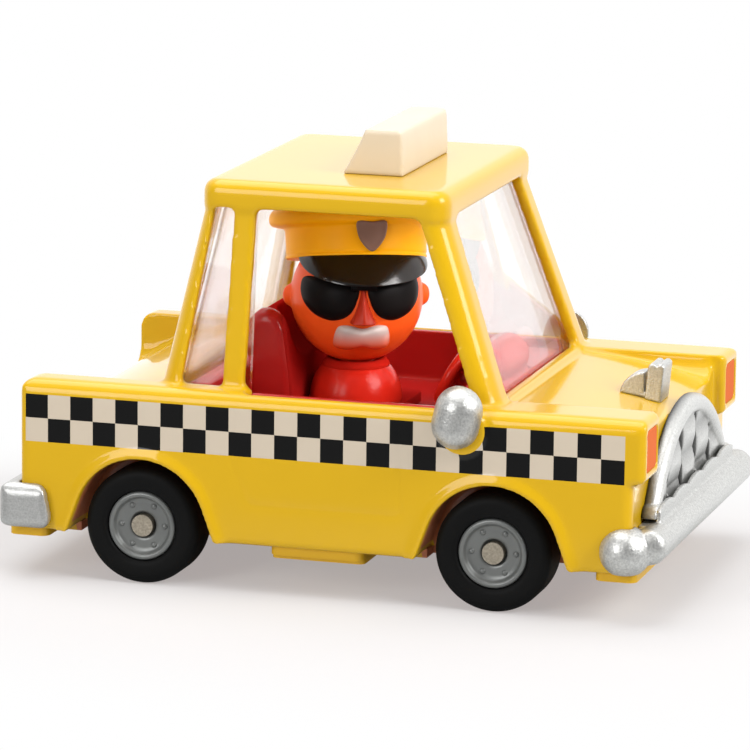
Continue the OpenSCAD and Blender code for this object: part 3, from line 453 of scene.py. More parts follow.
# %% Glazing
CLEAR_SHARE = 0.6
glass = bpy.data.materials.new("clear_moulding")
glass.use_nodes = True
tree = glass.node_tree
pane = tree.nodes["Principled BSDF"]
pane.inputs["Base Color"].default_value = (1.0, 0.975, 0.965, 1)
pane.inputs["Roughness"].default_value = 0.04
pane.inputs["IOR"].default_value = 1.6
pane.inputs["Transmission Weight"].default_value = 1.0
ripple = add_node(tree, "ShaderNodeTexNoise", {"Scale": 60.0, "Detail": 1.0})
tree.links.new(add_node(tree, "ShaderNodeTexCoord").outputs["Object"], ripple.inputs["Vector"])
wave = add_node(tree, "ShaderNodeBump", {"Strength": 0.02, "Distance": 0.0005})
tree.links.new(ripple.outputs["Fac"], wave.inputs["Height"])
tree.links.new(wave.outputs[0], pane.inputs["Normal"])
ray = add_node(tree, "ShaderNodeLightPath")
through = add_node(tree, "ShaderNodeBsdfTransparent", {"Color": (0.985, 0.97, 0.962, 1)})
choose = add_node(tree, "ShaderNodeMixShader")
tree.links.new(calc(tree, "MAXIMUM", ray.outputs["Is Shadow Ray"], CLEAR_SHARE), choose.inputs["Fac"])
tree.links.new(pane.outputs[0], choose.inputs[1])
tree.links.new(through.outputs[0], choose.inputs[2])
tree.links.new(choose.outputs[0], tree.nodes["Material Output"].inputs["Surface"])
bare_finish("windshield_glass", glass)
bare_finish("rear_glazing", glass)

# %% [markdown]
# ## Interior
# Tub, seat, steering wheel and the driver's coat are red mouldings. Their solids are softened like the
# casting, the small ones with a finer voxel. The seat's core is left without gloss, because it would mirror
# the white backdrop in thin bright slivers.

# %% Red mouldings
red_moulding = finish_for("red_moulding", (0.4, 0.012, 0.01), 0.24, grain=800, bump=0.015,
                          specular_ior_level=0.35)
red_gloss = finish_for("red_gloss", (0.52, 0.016, 0.007), 0.22, grain=800, bump=0.01,
                       specular_ior_level=0.16)
soft_solid("interior_tub", "car", red_moulding, voxel=0.4 * MM, rounds=3, keep=0.4)
seat_red = finish_for("seat_red", (0.36, 0.012, 0.01), 0.34, grain=800, bump=0.015, specular_ior_level=0.0)
soft_solid("driver_seat", "car", seat_red, voxel=0.35 * MM, rounds=6)
soft_solid("steering_wheel", "car", red_gloss, voxel=0.2 * MM, rounds=2)
soft_solid("driver_torso", "car", red_gloss, voxel=0.3 * MM, rounds=4)

# %% [markdown]
# ## Driver
# The head is a ball with ears and a wedge of a nose, cap and peak, dark glasses and a moustache. It turns
# about the neck pin, whose place is the joint's. All these pieces are laid out in the face's own frame, ahead
# of the face, to the driver's left, and up, so that the way the face looks is set in one place.

# %% The face's frame
neck = joints["head_turn"]
HEAD_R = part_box("driver_head")[1].z - neck.z
FACE_TURN = math.radians(-67.5)
CAP_TILT = math.radians(13)
CAP_RISE = 0.55 * HEAD_R
ahead = Vector((math.cos(FACE_TURN), math.sin(FACE_TURN), 0))
aside = Vector((-math.sin(FACE_TURN), math.cos(FACE_TURN), 0))


def face_point(forwards, sideways, rise):
    """A point given in metres ahead of, beside and above the head's middle."""
    return neck + ahead * forwards + aside * sideways + Vector((0, 0, rise))


def tip_back(points):
    """Points of the upright cap, tipped back about the middle of the head."""
    tip = Matrix.Rotation(-CAP_TILT, 3, aside)
    return [neck + tip @ (p - neck) for p in points]


def on_head(sideways, rise, lift):
    """A point over the head's front at these offsets, lifted off its surface."""
    r = HEAD_R + lift
    depth = math.sqrt(max(r * r - sideways * sideways - rise * rise, 0))
    return face_point(depth, sideways, rise)


# %% Skins, balls and turned shapes
def ring_skin(rings, close_ends=True, wrap=True):
    """A mesh through rings of points, with its ends closed by fans."""
    shape = bmesh.new()
    rows = [[shape.verts.new(p) for p in ring] for ring in rings]
    count = len(rows[0])
    for a, b in zip(rows, rows[1:]):
        for i in range(count if wrap else count - 1):
            j = (i + 1) % count
            shape.faces.new((a[i], a[j], b[j], b[i]))
    if close_ends:
        for row in (rows[0], rows[-1]):
            tip = shape.verts.new(sum((v.co for v in row), Vector()) / count)
            for i in range(count):
                shape.faces.new((row[i], row[(i + 1) % count], tip))
    bmesh.ops.remove_doubles(shape, verts=shape.verts, dist=1e-7)
    bmesh.ops.recalc_face_normals(shape, faces=shape.faces)
    mesh = bpy.data.meshes.new("skin")
    shape.to_mesh(mesh)
    shape.free()
    return mesh


def free_piece(mesh):
    """An object at the origin for a mesh that is already in place."""
    piece = bpy.data.objects.new(mesh.name, mesh)
    scene.collection.objects.link(piece)
    return piece


def joined(meshes):
    """One mesh from several closed ones."""
    shape = bmesh.new()
    for mesh in meshes:
        shape.from_mesh(mesh)
    mesh = bpy.data.meshes.new("joined")
    shape.to_mesh(mesh)
    shape.free()
    return mesh


def turned(profile, centre, axis, steps=96):
    """Turn (radius, along) points about an axis through centre."""
    axis = Vector(axis)
    side = Vector((0, 0, 1)) if abs(axis.z) < 0.5 else Vector((1, 0, 0))
    other = axis.cross(side)
    angles = [2 * math.pi * i / steps for i in range(steps)]
    return ring_skin([[centre + axis * along + (side * math.cos(a) + other * math.sin(a)) * max(r, 1e-6)
                       for a in angles] for r, along in profile])


def ball(centre, radius, squash=(1, 1, 1), steps=48):
    """A closed ball, squashed along the face's frame."""
    rings = []
    for k in range(1, steps // 2):
        lat = math.pi * k / (steps // 2) - math.pi / 2
        rings.append([centre + ahead * radius * squash[0] * math.cos(lat) * math.cos(a)
                      + aside * radius * squash[1] * math.cos(lat) * math.sin(a)
                      + Vector((0, 0, radius * squash[2] * math.sin(lat)))
                      for a in [2 * math.pi * i / steps for i in range(steps)]])
    return ring_skin(rings)


# %% [markdown]
# The seat is moulded with a rounded roll down either side. Each roll is a skin through scaled copies of one
# outline, and is pressed clear of the head where that turns. The coat ends in a low collar under the chin,
# which is a profile turned about the neck. Its darker red is painted shade, the shade in the gap under the
# chin. It is as dull as the seat's core, for the same reason.

# %% Seat bolsters
BOLSTER = [(0.5, -16.4), (0.4, -2.6), (0.9, -0.5), (2.2, 0.6), (3.8, 0.6), (5.3, -0.3), (6.3, -2.2),
           (7.4, -10), (7.9, -16.4)]
ROLL = [(0, 0.72), (0.25, 0.86), (0.8, 0.96), (1.5, 1), (2.5, 1), (3.2, 0.96), (3.75, 0.86), (4, 0.72)]
ROLL_OUT, HEAD_ROOM = 0.5, 2.0 * MM
seat_low, seat_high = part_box("driver_seat")
for hand, side in (("left", 1), ("right", -1)):
    middle = Vector((sum(a for a, b in BOLSTER), sum(b for a, b in BOLSTER))) / len(BOLSTER)
    rings = []
    for depth, scale in ROLL:
        y = side * (seat_high.y + (ROLL_OUT - depth) * MM)
        rings.append([Vector((seat_low.x + (middle.x + (a - middle.x) * scale) * MM, y,
                              seat_high.z + (middle.y + (b - middle.y) * scale) * MM)) for a, b in BOLSTER])
    bolster = soften(free_piece(ring_skin(rings)), 0.3 * MM, 8, 1.0)
    for vertex in bolster.data.vertices:
        off = vertex.co - neck
        if off.length < HEAD_R + HEAD_ROOM:
            vertex.co = neck + off.normalized() * (HEAD_R + HEAD_ROOM)
    settle(bolster, "seat_bolster_" + hand, "car", red_moulding)

# %% Coat collar
COLLAR = [(1.8, -0.8), (1.8, -0.1), (3.0, 0.17), (4.0, 0.5), (4.4, 0.6), (4.8, 0.45), (5.2, -0.1),
          (5.4, -0.8)]
chin = neck - Vector((0, 0, HEAD_R))
collar = free_piece(turned([(r * MM, rise * MM) for r, rise in COLLAR], chin, (0, 0, 1)))
# Painted shade: the collar's darker red stands for the shade in the gap under the chin.
collar_shade_red = finish_for("collar_shade_red", (0.42, 0.013, 0.007), 0.5, grain=800, bump=0.01,
                        specular_ior_level=0.0)
settle(collar, "coat_collar", "car", collar_shade_red)

# %% [markdown]
# The head itself is a ball with two small ears. The three balls are joined and remeshed as one, which rounds
# the corner where an ear meets the head. The nose is a wedge that widens towards its foot, in a darker red
# that is painted shade from the glasses above it.

# %% Head with ears and nose
skin_paint = finish_for("orange_skin", (0.86, 0.1, 0.012), 0.34, grain=700, bump=0.01,
                        specular_ior_level=0.2)
NOSE_TOP, NOSE_FOOT, NOSE_STEPS = 2.9 * MM, -2.5 * MM, 8
NOSE_SUNK, NOSE_BEVEL, NOSE_FLARE = 3 * MM, 0.9 * MM, 1.4
NOSE_HALF, NOSE_REACH = (0.45, 0.3, 1.1), (0.3, 2.0)
nose_rings = []
for step in range(NOSE_STEPS + 1):
    t = step / NOSE_STEPS
    rise = NOSE_TOP + (NOSE_FOOT - NOSE_TOP) * t
    half = (NOSE_HALF[0] + NOSE_HALF[1] * t + NOSE_HALF[2] * t * t) * MM
    reach = HEAD_R + (NOSE_REACH[0] + NOSE_REACH[1] * t) * MM
    root, cheek = HEAD_R - NOSE_SUNK, reach - NOSE_BEVEL
    nose_rings.append([face_point(root, -half * NOSE_FLARE, rise), face_point(root, half * NOSE_FLARE, rise),
                       face_point(cheek, half, rise), face_point(reach, 0, rise),
                       face_point(cheek, -half, rise)])
# Painted shade: the nose is darker than the skin because the glasses shade it.
nose_shade_paint = finish_for("shaded_nose_red", (0.38, 0.022, 0.007), 0.3, grain=700, bump=0.01, specular_ior_level=0.1)
nose = soften(free_piece(ring_skin(nose_rings)), 0.2 * MM, 8, 1.0)
settle(nose, "nose_wedge", "driver_head_turning", nose_shade_paint)
EAR_BACK, EAR_R, EAR_SQUASH = 0.8 * MM, 1.55 * MM, (0.75, 0.8, 1.15)
parts = [ball(neck, HEAD_R, (1, 1, 1), 96)]
for hand in (-1, 1):
    parts.append(ball(face_point(-EAR_BACK, hand * HEAD_R, 0), EAR_R, EAR_SQUASH))
head = soften(free_piece(joined(parts)), 0.3 * MM, 5, 1.0)
settle(head, "head_ball", "driver_head_turning", skin_paint, ["driver_head"])

# %% [markdown]
# The cap is a band under a crown with a rolled rim. One profile gives all of it, as (radius, rise, shift)
# points. The shift moves a ring sideways, so the crown can sit off the middle of its band, which a turned
# shape can't.

# %% Cap
cap_cloth = finish_for("cap_yellow", (1.0, 0.43, 0.002), 0.4, grain=900, bump=0.02, specular_ior_level=0.12)
CAP_STEPS = 96
CROWN_SHIFT = Vector((-0.0012, -0.0003, 0))
cap_profile = [(8.6, 0.0, 0), (10.9, 0.0, 0), (11.1, 0.12, 0), (11.1, 0.5, 0), (10.95, 0.62, 0),
               (10.95, 0.78, 0), (11.1, 0.9, 0), (11.05, 1.6, 0), (11.1, 3.2, 0), (11.15, 4.5, 0),
               (11.2, 4.9, 0.1), (11.8, 5.05, 0.8), (12.3, 5.4, 1), (12.45, 6.1, 1), (12.4, 6.9, 1),
               (12.0, 7.6, 1), (11.2, 8.1, 1), (8, 8.8, 1), (4, 9.1, 1), (0.3, 9.2, 1)]
cap_rings = []
for radius, rise, shift in cap_profile:
    middle = Vector((neck.x, neck.y, neck.z + CAP_RISE + rise * MM)) + CROWN_SHIFT * shift
    cap_rings.append(tip_back([middle + Vector((math.cos(a), math.sin(a), 0)) * radius * MM
                               for a in [2 * math.pi * i / CAP_STEPS for i in range(CAP_STEPS)]]))
cap = free_piece(ring_skin(cap_rings))
cap.modifiers.new("round", "SUBSURF").levels = 1
cap.modifiers["round"].render_levels = 1
cap.data = evaluated_mesh(cap)
settle(cap, "cap_crown", "driver_head_turning", cap_cloth, ["driver_cap"])

# %% [markdown]
# The peak is a glossy black sheet that droops from the cap's front and runs out to a point at either end.
# It is a skin through rings across the sheet, with a bead along its outer edge, subdivided to round it.

# %% Peak
black_gloss = finish_for("black_gloss", (0.006, 0.004, 0.003), 0.16, grain=900, bump=0.01,
                         specular_ior_level=0.5)
PEAK_ENDS = (math.radians(-62), math.radians(80))
PEAK_REACH = 2.6 * MM
PEAK_DROP = 5.3 * MM
PEAK_ARCH = 0.35 * MM
PEAK_ROOT = (0.3 * MM, 0.4 * MM)
PEAK_SWELL = 0.85
PEAK_STEPS, PEAK_ROUND = 48, 16
peak_rings = []
for step in range(PEAK_STEPS + 1):
    share = 2 * step / PEAK_STEPS - 1
    a = abs(share) * PEAK_ENDS[share > 0]
    swell = max(math.cos(share * math.pi / 2), 0) ** PEAK_SWELL
    outward = ahead * math.cos(a) + aside * math.sin(a)
    root = neck + Vector((0, 0, CAP_RISE + PEAK_ROOT[1])) + outward * (HEAD_R + PEAK_ROOT[0])
    tip = root + outward * (PEAK_REACH * swell + 0.15 * MM) - Vector((0, 0, PEAK_DROP * swell + 0.1 * MM))
    thick = (0.15 + 0.4 * min(1, 2 * swell)) * MM
    ring = []
    for k in range(PEAK_ROUND):
        b = 2 * math.pi * k / PEAK_ROUND
        s = 0.5 + 0.5 * math.cos(b)
        bead = thick * (0.75 + 0.55 * s ** 6)
        arch = PEAK_ARCH * math.sin(math.pi * s) * swell
        ring.append(root.lerp(tip, s) + Vector((0, 0, bead * math.sin(b) + arch)))
    peak_rings.append(tip_back(ring))
peak = free_piece(ring_skin(peak_rings))
peak.modifiers.new("round", "SUBSURF").levels = 2
peak.modifiers["round"].render_levels = 2
peak.data = evaluated_mesh(peak)
settle(peak, "cap_peak_gloss", "driver_head_turning", black_gloss, ["cap_peak"])

# %% [markdown]
# Lenses and moustache lie on the face like small cushions. A pillow that grows from an outline, over the ball
# of the head, follows it however far it reaches round, where a flat shape would stand off at its ends.

# %% Dark glasses
lens_black = finish_for("lens_black", (0.006, 0.005, 0.005), 0.4, grain=700, bump=0.01,
                        specular_ior_level=0.05)


def pillow(outline, lift, sunk=0.4 * MM, rows=10):
    """A closed pillow over the head's front, thickest in the middle of its outline."""
    middle = Vector((sum(p[0] for p in outline), sum(p[1] for p in outline))) / len(outline)

    def ring_at(scale, height):
        """The outline, drawn in towards its middle, at one height off the head."""
        return [on_head(middle.x + (p[0] - middle.x) * scale, middle.y + (p[1] - middle.y) * scale, height)
                for p in outline]

    rings = []
    for row in range(rows + 1):
        t = math.sin(math.pi / 2 * row / rows)
        rings.append(ring_at(max(t, 1e-3), lift * math.sqrt(max(1 - t ** 4, 0)) - sunk * t ** 6))
    for t, depth in ((0.97, 1.5), (0.5, 1.8), (1e-3, 1.8)):
        rings.append(ring_at(t, -sunk * depth))
    return ring_skin(rings)


def smooth_loop(points, steps=8):
    """A closed loop through points given in millimetres, rounded by a Catmull-Rom curve."""
    loop = []
    count = len(points)
    for i in range(count):
        p0, p1, p2, p3 = (Vector(points[(i + k - 1) % count]) for k in range(4))
        for s in range(steps):
            t = s / steps
            loop.append(tuple(0.5 * MM * (2 * p1 + (p2 - p0) * t + (2 * p0 - 5 * p1 + 4 * p2 - p3) * t * t
                                          + (3 * p1 - p0 - 3 * p2 + p3) * t ** 3)))
    return loop


LENS = [(0.75, 3.3), (4.6, 4.2), (8.4, 4.2), (9.4, 2.4), (9.0, 0.1), (7.3, -1.7), (4.7, -2.4),
        (2.3, -1.5), (0.95, 0.7)]
LENS_LIFT = 0.9 * MM
lenses = [pillow(smooth_loop([(hand * a, b) for a, b in LENS]), LENS_LIFT) for hand in (-1, 1)]
BRIDGE_OUT, BRIDGE_DEEP, BRIDGE_RISE, BRIDGE_TALL = 0.5 * MM, 0.4 * MM, 3.2, 0.45
BRIDGE_SIDES = (-2.0, -0.7, 0.7, 2.0)
bridge_round = [2 * math.pi * k / 12 for k in range(12)]
bridge = ring_skin([[face_point(HEAD_R + BRIDGE_OUT + BRIDGE_DEEP * math.cos(b), side * MM,
                                (BRIDGE_RISE + BRIDGE_TALL * math.sin(b)) * MM) for b in bridge_round]
                    for side in BRIDGE_SIDES])
glasses = free_piece(joined([*lenses, bridge]))
settle(glasses, "dark_glasses", "driver_head_turning", lens_black, ["sunglasses"])

# %% [markdown]
# The moustache is brushed on in grey and fades to the skin's orange at its lower edge, so its finish changes
# down the piece. Only one half of its outline is written down, and the other is its mirror image.

# %% Moustache
hair_paint = finish_for("grey_moustache", (0.52, 0.45, 0.42), 0.24, spread=0.15, grain=1200, bump=0.05)
GREY_DOWN_TO, ORANGE_FROM, BRUSH_LIFT = 4.0 * MM, 6.5 * MM, 1.3 * MM
fade_to(hair_paint, "Z", neck.z - GREY_DOWN_TO, neck.z - ORANGE_FROM, (0.84, 0.13, 0.04))
BRUSH = [(0, -3.4), (2.0, -2.9), (3.6, -3.0), (4.2, -3.8), (4.5, -5.6), (4.2, -6.9), (2.2, -7.3), (0, -6.7)]
brush_edge = BRUSH + [(-a, b) for a, b in BRUSH[-2:0:-1]]
moustache = soften(free_piece(pillow(smooth_loop(brush_edge), BRUSH_LIFT)), 0.2 * MM, 6, 1.0)
settle(moustache, "moustache_brush", "driver_head_turning", hair_paint, ["moustache"])

# %% [markdown]
# The badge is a small shield with a raised rim. Its rings follow the curve of the cap's band, a little to the
# side of the face's middle.

# %% Cap badge
badge_paint = finish_for("badge_mauve", (0.24, 0.14, 0.11), 0.34, grain=1500, bump=0.05, metallic=0.2)
BADGE = [(-2.2, 2.25), (0, 2.1), (2.2, 2.25), (2.3, 0.6), (1.6, -1.1), (0, -2.5), (-1.6, -1.1), (-2.3, 0.6)]
BADGE_RELIEF = [(0.2, 0.4), (0.3, 1.0), (0.62, 1.0), (0.72, 0.93), (0.62, 0.84), (0.66, 0.5), (0.68, 0.02)]
BADGE_ASIDE, BADGE_RISE = 1.33 * MM, 3.1 * MM
BAND_R, BAND_FLARE, FLARE_FROM = 11.0, 0.09, 1.5
badge_at = neck + Vector((0, 0, CAP_RISE + BADGE_RISE))
badge_rings = []
for reach, scale in BADGE_RELIEF:
    ring = []
    for a, b in smooth_loop(BADGE, 6):
        sideways, rise = BADGE_ASIDE + a * scale, b * scale
        radius = (BAND_R + max(0, rise / MM + FLARE_FROM) * BAND_FLARE) * MM + reach * MM
        depth = math.sqrt(radius ** 2 - sideways ** 2)
        ring.append(badge_at + ahead * depth + aside * sideways + Vector((0, 0, rise)))
    badge_rings.append(tip_back(ring))
badge = free_piece(ring_skin(badge_rings))
settle(badge, "badge_shield", "driver_head_turning", badge_paint, ["cap_badge"])

# %% [markdown]
# ## Silver trim
# Bumpers, grille, mirrors and hood ornament are brushed over with silver paint: bright, a little rough, and
# full of fine flakes. Single flakes would be far too many to model, so they are a fine noise on colour and
# bump. Deep in the grille the paint fades to a dark grey, which is painted shade. All but the front bumper
# are softened copies.

# %% Silver paint
silver = finish_for("silver_paint", (0.5, 0.5, 0.485), 0.36, spread=0.5, grain=3200, bump=0.35, flaky=True,
                    metallic=0.75)
grille_shaded_silver = finish_for("grille_shaded_silver", (0.55, 0.55, 0.535), 0.4, spread=0.35, grain=3200, bump=0.3,
                         flaky=True, metallic=0.75)
rim_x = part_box("front_grille")[1].x
SHADE_FROM, SHADE_TO = 0.6 * MM, 2.1 * MM
# Painted shade: deep in the grille, behind its rim, the silver darkens to dark grey.
fade_to(grille_shaded_silver, "X", rim_x - SHADE_FROM, rim_x - SHADE_TO, (0.05, 0.05, 0.05))
dull_silver = finish_for("dull_silver", (0.42, 0.42, 0.41), 0.38, spread=0.35, grain=3600, bump=0.25,
                         flaky=True, metallic=0.75)
soft_solid("rear_bumper", "car", dull_silver, voxel=0.3 * MM, rounds=5, keep=0.5)
soft_solid("front_grille", "car", grille_shaded_silver, voxel=0.2 * MM, rounds=2, keep=0.5)
soft_solid("hood_ornament", "car", silver, voxel=0.15 * MM, rounds=3)
for hand in ("left", "right"):
    soft_solid("mirror_" + hand, "car", silver, voxel=0.2 * MM, rounds=3)

# %% [markdown]
# The front bumper is a round bar. On it stands a thin ridge with a scalloped edge, under the grille. A shelf
# runs back from it to the front panel, and a ball closes either end. Its sizes hang on the corners of its
# solid's box.

# %% Front bumper: the bar
BAR_R, BAR_END, BAR_INSET, BAR_STEPS = 2.75 * MM, 1.6 * MM, 2.8 * MM, 80
BAR_BACK, BAR_DOWN, PANEL_BACK = 2.5 * MM, 5.5 * MM, 5.0 * MM
bumper_low, bumper_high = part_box("front_bumper")
panel_x = bumper_high.x - PANEL_BACK
bar_at = Vector((bumper_high.x - BAR_BACK, 0, bumper_high.z - BAR_DOWN))
bar_reach = bumper_high.y - BAR_INSET
bar_round = [2 * math.pi * k / 48 for k in range(48)]
bar_rings = []
for step in range(BAR_STEPS + 1):
    y = bar_reach * math.sin(math.pi / 2 * (2 * step / BAR_STEPS - 1))
    end = max(0, abs(y) - bar_reach + BAR_END) / BAR_END
    r = BAR_R * math.sqrt(max(1 - end ** 2, 1e-4))
    bar_rings.append([bar_at + Vector((r * math.cos(b), y, r * math.sin(b))) for b in bar_round])
print("bumper bar:", round(2 * bar_reach / MM, 1), "mm long")


# %% Front bumper: ridge, shelf and balls
def plank(x_low, x_high, z_low, tops):
    """A closed upright plank whose top runs through (y, z) points."""
    return ring_skin([[Vector((x_low, y, z_low)), Vector((x_high, y, z_low)), Vector((x_high, y, z)),
                       Vector((x_low, y, z))] for y, z in tops])


SCALLOPS, SCALLOP_PITCH, SCALLOP_DIP, SCALLOP_STEPS = 5, 10 * MM, 0.7 * MM, 200
RIDGE_BACK, RIDGE_FRONT, RIDGE_DOWN = 2.7 * MM, 2.0 * MM, 0.3 * MM
SHELF_FRONT, SHELF_DOWN, SHELF_PAST = 2.3 * MM, 2.95 * MM, 2 * MM
END_R, END_BACK, END_INSET, END_DOWN = 4.0 * MM, 1.1 * MM, 4.0 * MM, 6.3 * MM
PANEL_CORNER = 2.7 * MM
ridge_half = SCALLOPS * SCALLOP_PITCH / 2
ridge_top = bumper_high.z - RIDGE_DOWN
edge_line = []
for step in range(SCALLOP_STEPS + 1):
    y = ridge_half * (2 * step / SCALLOP_STEPS - 1)
    across = ((y + ridge_half) / SCALLOP_PITCH) % 1 * 2 - 1
    edge_line.append((y, ridge_top - SCALLOP_DIP * across ** 2))
ridge = plank(bumper_high.x - RIDGE_BACK, bumper_high.x - RIDGE_FRONT, bar_at.z, edge_line)
shelf = plank(panel_x, bumper_high.x - SHELF_FRONT, bar_at.z,
              [(hand * (ridge_half + SHELF_PAST), bumper_high.z - SHELF_DOWN) for hand in (-1, 1)])
end_balls = []
for hand in (-1, 1):
    end_at = Vector((panel_x - END_BACK, hand * (bumper_high.y - END_INSET), bumper_high.z - END_DOWN))
    mesh = ball(end_at, END_R, steps=64)
    for vertex in mesh.vertices:
        vertex.co.z = max(vertex.co.z, bumper_low.z)
        if abs(vertex.co.y) < bumper_high.y - PANEL_CORNER:
            vertex.co.x = max(vertex.co.x, panel_x)
    end_balls.append(mesh)
bumper = soften(free_piece(joined([ring_skin(bar_rings), ridge, shelf, *end_balls])), 0.2 * MM, 4, 0.5)
settle(bumper, "front_bumper_bar", "car", silver, ["front_bumper"])

# %% [markdown]
# ## Lamps and roof sign
# The lamps are flat coral-red fills in their housings. The sign is an ivory wedge with an upright front: a
# softened copy of its solid, whose top is then drawn in from front and back and lifted a little.

# %% Lamps
coral = finish_for("coral_lamp", (0.62, 0.15, 0.054), 0.5, grain=900, bump=0.01, specular_ior_level=0.0)
for place in ("headlamp_left", "headlamp_right", "tail_lamp_left", "tail_lamp_right"):
    soft_solid(place, "car", coral, voxel=0.15 * MM, rounds=3)

# %% Roof sign
ivory_moulding = finish_for("ivory_moulding", (0.64, 0.55, 0.42), 0.4, grain=1200, bump=0.02)
SIGN_BACK, SIGN_FRONT, SIGN_LIFT = 1.57 * MM, 1.0 * MM, 0.4 * MM
sign_low, sign_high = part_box("roof_sign")
roof_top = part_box("body_shell")[1].z
ivory_sign = soften(merged_copy("roof_sign"), 0.3 * MM, 3, 1.0)
for vertex in ivory_sign.data.vertices:
    rise = max(0, (vertex.co.z - roof_top) / (sign_high.z - roof_top))
    ahead_share = (vertex.co.x - sign_low.x) / (sign_high.x - sign_low.x)
    vertex.co.x += rise * (SIGN_BACK * (1 - ahead_share) - SIGN_FRONT * ahead_share)
    vertex.co.z += rise * SIGN_LIFT
settle(ivory_sign, "roof_sign_soft", "car", ivory_moulding, ["roof_sign"])

# %% [markdown]
# ## Wheels
# Tyres and hubs are turned shapes, so each is one profile swept about the axle. The lug studs repeat round
# the hub and are the work of Geometry Nodes: points on a circle, a small dome on each, realized and dressed.

# %% Rubber, hub paint and steel
rubber = finish_for("tyre_rubber", (0.003, 0.003, 0.003), 0.55, spread=0.2, grain=1800, bump=0.06,
                    specular_ior_level=0.1)
hub_paint = finish_for("hub_grey", (0.15, 0.155, 0.15), 0.36, spread=0.12, grain=1800, bump=0.05,
                       metallic=0.4)
steel = finish_for("axle_steel", (0.33, 0.29, 0.23), 0.45, spread=0.6, grain=2500, bump=0.4, flaky=True,
                   metallic=0.9)

# %% Lug studs by Geometry Nodes
studs = bpy.data.node_groups.new("lug_studs", "GeometryNodeTree")
for label, kind, default in (("Ring Radius", "NodeSocketFloat", 3.5 * MM),
                             ("Stud Radius", "NodeSocketFloat", 0.55 * MM),
                             ("Count", "NodeSocketInt", 6), ("Finish", "NodeSocketMaterial", None)):
    made = studs.interface.new_socket(label, in_out="INPUT", socket_type=kind)
    if default is not None:
        made.default_value = default
studs.interface.new_socket("Geometry", in_out="OUTPUT", socket_type="NodeSocketGeometry")
given = studs.nodes.new("NodeGroupInput")
circle = studs.nodes.new("GeometryNodeMeshCircle")
dome = studs.nodes.new("GeometryNodeMeshUVSphere")
dome.inputs["Segments"].default_value = 16
dome.inputs["Rings"].default_value = 10
spread = studs.nodes.new("GeometryNodeInstanceOnPoints")
real = studs.nodes.new("GeometryNodeRealizeInstances")
dress = studs.nodes.new("GeometryNodeSetMaterial")
result = studs.nodes.new("NodeGroupOutput")
for source, target in ((given.outputs["Count"], circle.inputs["Vertices"]),
                       (given.outputs["Ring Radius"], circle.inputs["Radius"]),
                       (given.outputs["Stud Radius"], dome.inputs["Radius"]),
                       (circle.outputs["Mesh"], spread.inputs["Points"]),
                       (dome.outputs["Mesh"], spread.inputs["Instance"]),
                       (spread.outputs["Instances"], real.inputs["Geometry"]),
                       (real.outputs["Geometry"], dress.inputs["Geometry"]),
                       (given.outputs["Finish"], dress.inputs["Material"]),
                       (dress.outputs["Geometry"], result.inputs["Geometry"])):
    studs.links.new(source, target)
socket = {item.name: item.identifier for item in studs.interface.items_tree if item.in_out == "INPUT"}


def stud_ring(place):
    """The realized studs as a mesh, moved by a matrix to their hub."""
    carrier = free_piece(bpy.data.meshes.new("studs"))
    maker = carrier.modifiers.new("lug_studs", "NODES")
    maker.node_group = studs
    maker[socket["Finish"]] = hub_paint
    mesh = evaluated_mesh(carrier)
    mesh.transform(place)
    bpy.data.objects.remove(carrier)
    return mesh


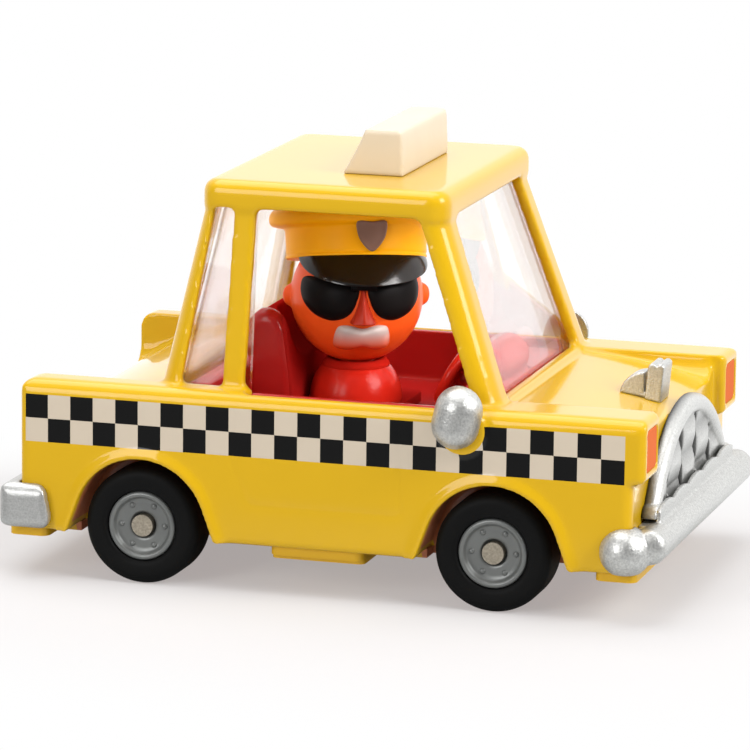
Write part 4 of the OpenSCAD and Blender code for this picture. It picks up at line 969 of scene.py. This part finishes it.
# %% Turn the wheels
TYRE_EDGE, TYRE_BACK_EDGE, HUB_GAP, BEAD_IN = 1.5 * MM, 1 * MM, 0.05 * MM, 0.8 * MM
TYRE_LIP = [(0.15, 0.35), (0.5, 0.1), (1.0, 0)]
LIP_DEEP, BACK_LIP = 0.7 * MM, 0.5 * MM
HUB_SUNK, STUD_SUNK, DISH_R = 0.25 * MM, 1.2 * MM, 5.4
DISH = [(1.72, -1.9), (2.0, -1.9), (2.05, -1.1), (2.2, -0.98), (2.6, -0.95), (3.4, -0.95), (4.1, -0.9),
        (4.35, -0.7), (4.5, -0.2), (4.7, 0.0), (5.0, 0.02), (5.25, -0.1), (5.38, -0.35), (5.4, -0.8),
        (5.4, -5.6), (3.2, -5.6), (3.2, -7.0), (1.72, -7.0), (1.72, -1.9)]
for end in ("front", "rear"):
    axis_at = joints[end + "_wheels_roll"]
    body = end + "_wheelset"
    bare_finish(end + "_axle", steel)
    for hand, sign in (("left", 1), ("right", -1)):
        tyre_low, tyre_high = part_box(f"{end}_tyre_{hand}")
        face = max(abs(tyre_low.y), abs(tyre_high.y))
        back = min(abs(tyre_low.y), abs(tyre_high.y))
        tyre_r = (tyre_high.z - tyre_low.z) / 2
        hub_low, hub_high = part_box(f"{end}_hub_{hand}")
        hub_r = (hub_high.z - hub_low.z) / 2
        centre = Vector((axis_at.x, 0, axis_at.z))
        axis = (0, sign, 0)
        shoulder = [(tyre_r - TYRE_EDGE + TYRE_EDGE * math.sin(a), face - TYRE_EDGE + TYRE_EDGE * math.cos(a))
                    for a in [math.pi / 2 * k / 8 for k in range(9)]]
        inner = [(tyre_r - TYRE_BACK_EDGE + TYRE_BACK_EDGE * math.cos(a),
                  back + TYRE_BACK_EDGE - TYRE_BACK_EDGE * math.sin(a))
                 for a in [math.pi / 2 * k / 6 for k in range(7)]]
        bead = (hub_r + HUB_GAP, back + BEAD_IN)
        lip = [(hub_r + out * MM, face - down * MM) for out, down in TYRE_LIP]
        profile = [bead, (hub_r + HUB_GAP, face - LIP_DEEP), *lip, *shoulder, *inner,
                   (hub_r + BACK_LIP, back), bead]
        tyre = free_piece(turned(profile, centre, axis, 128))
        settle(tyre, f"{end}_tyre_{hand}_rubber", body, rubber, [f"{end}_tyre_{hand}"])
        top = face - HUB_SUNK
        dish_profile = [(r * MM * hub_r / (DISH_R * MM), top + d * MM) for r, d in DISH]
        dish_mesh = turned(dish_profile, centre, axis, 96)
        hub_face = centre + Vector((0, sign * (top - STUD_SUNK), 0))
        turn = Matrix.Translation(hub_face) @ Matrix.Rotation(math.pi / 2, 4, "X")
        hub = free_piece(joined([dish_mesh, stud_ring(turn)]))
        settle(hub, f"{end}_hub_{hand}_dish", body, hub_paint, [f"{end}_hub_{hand}"])
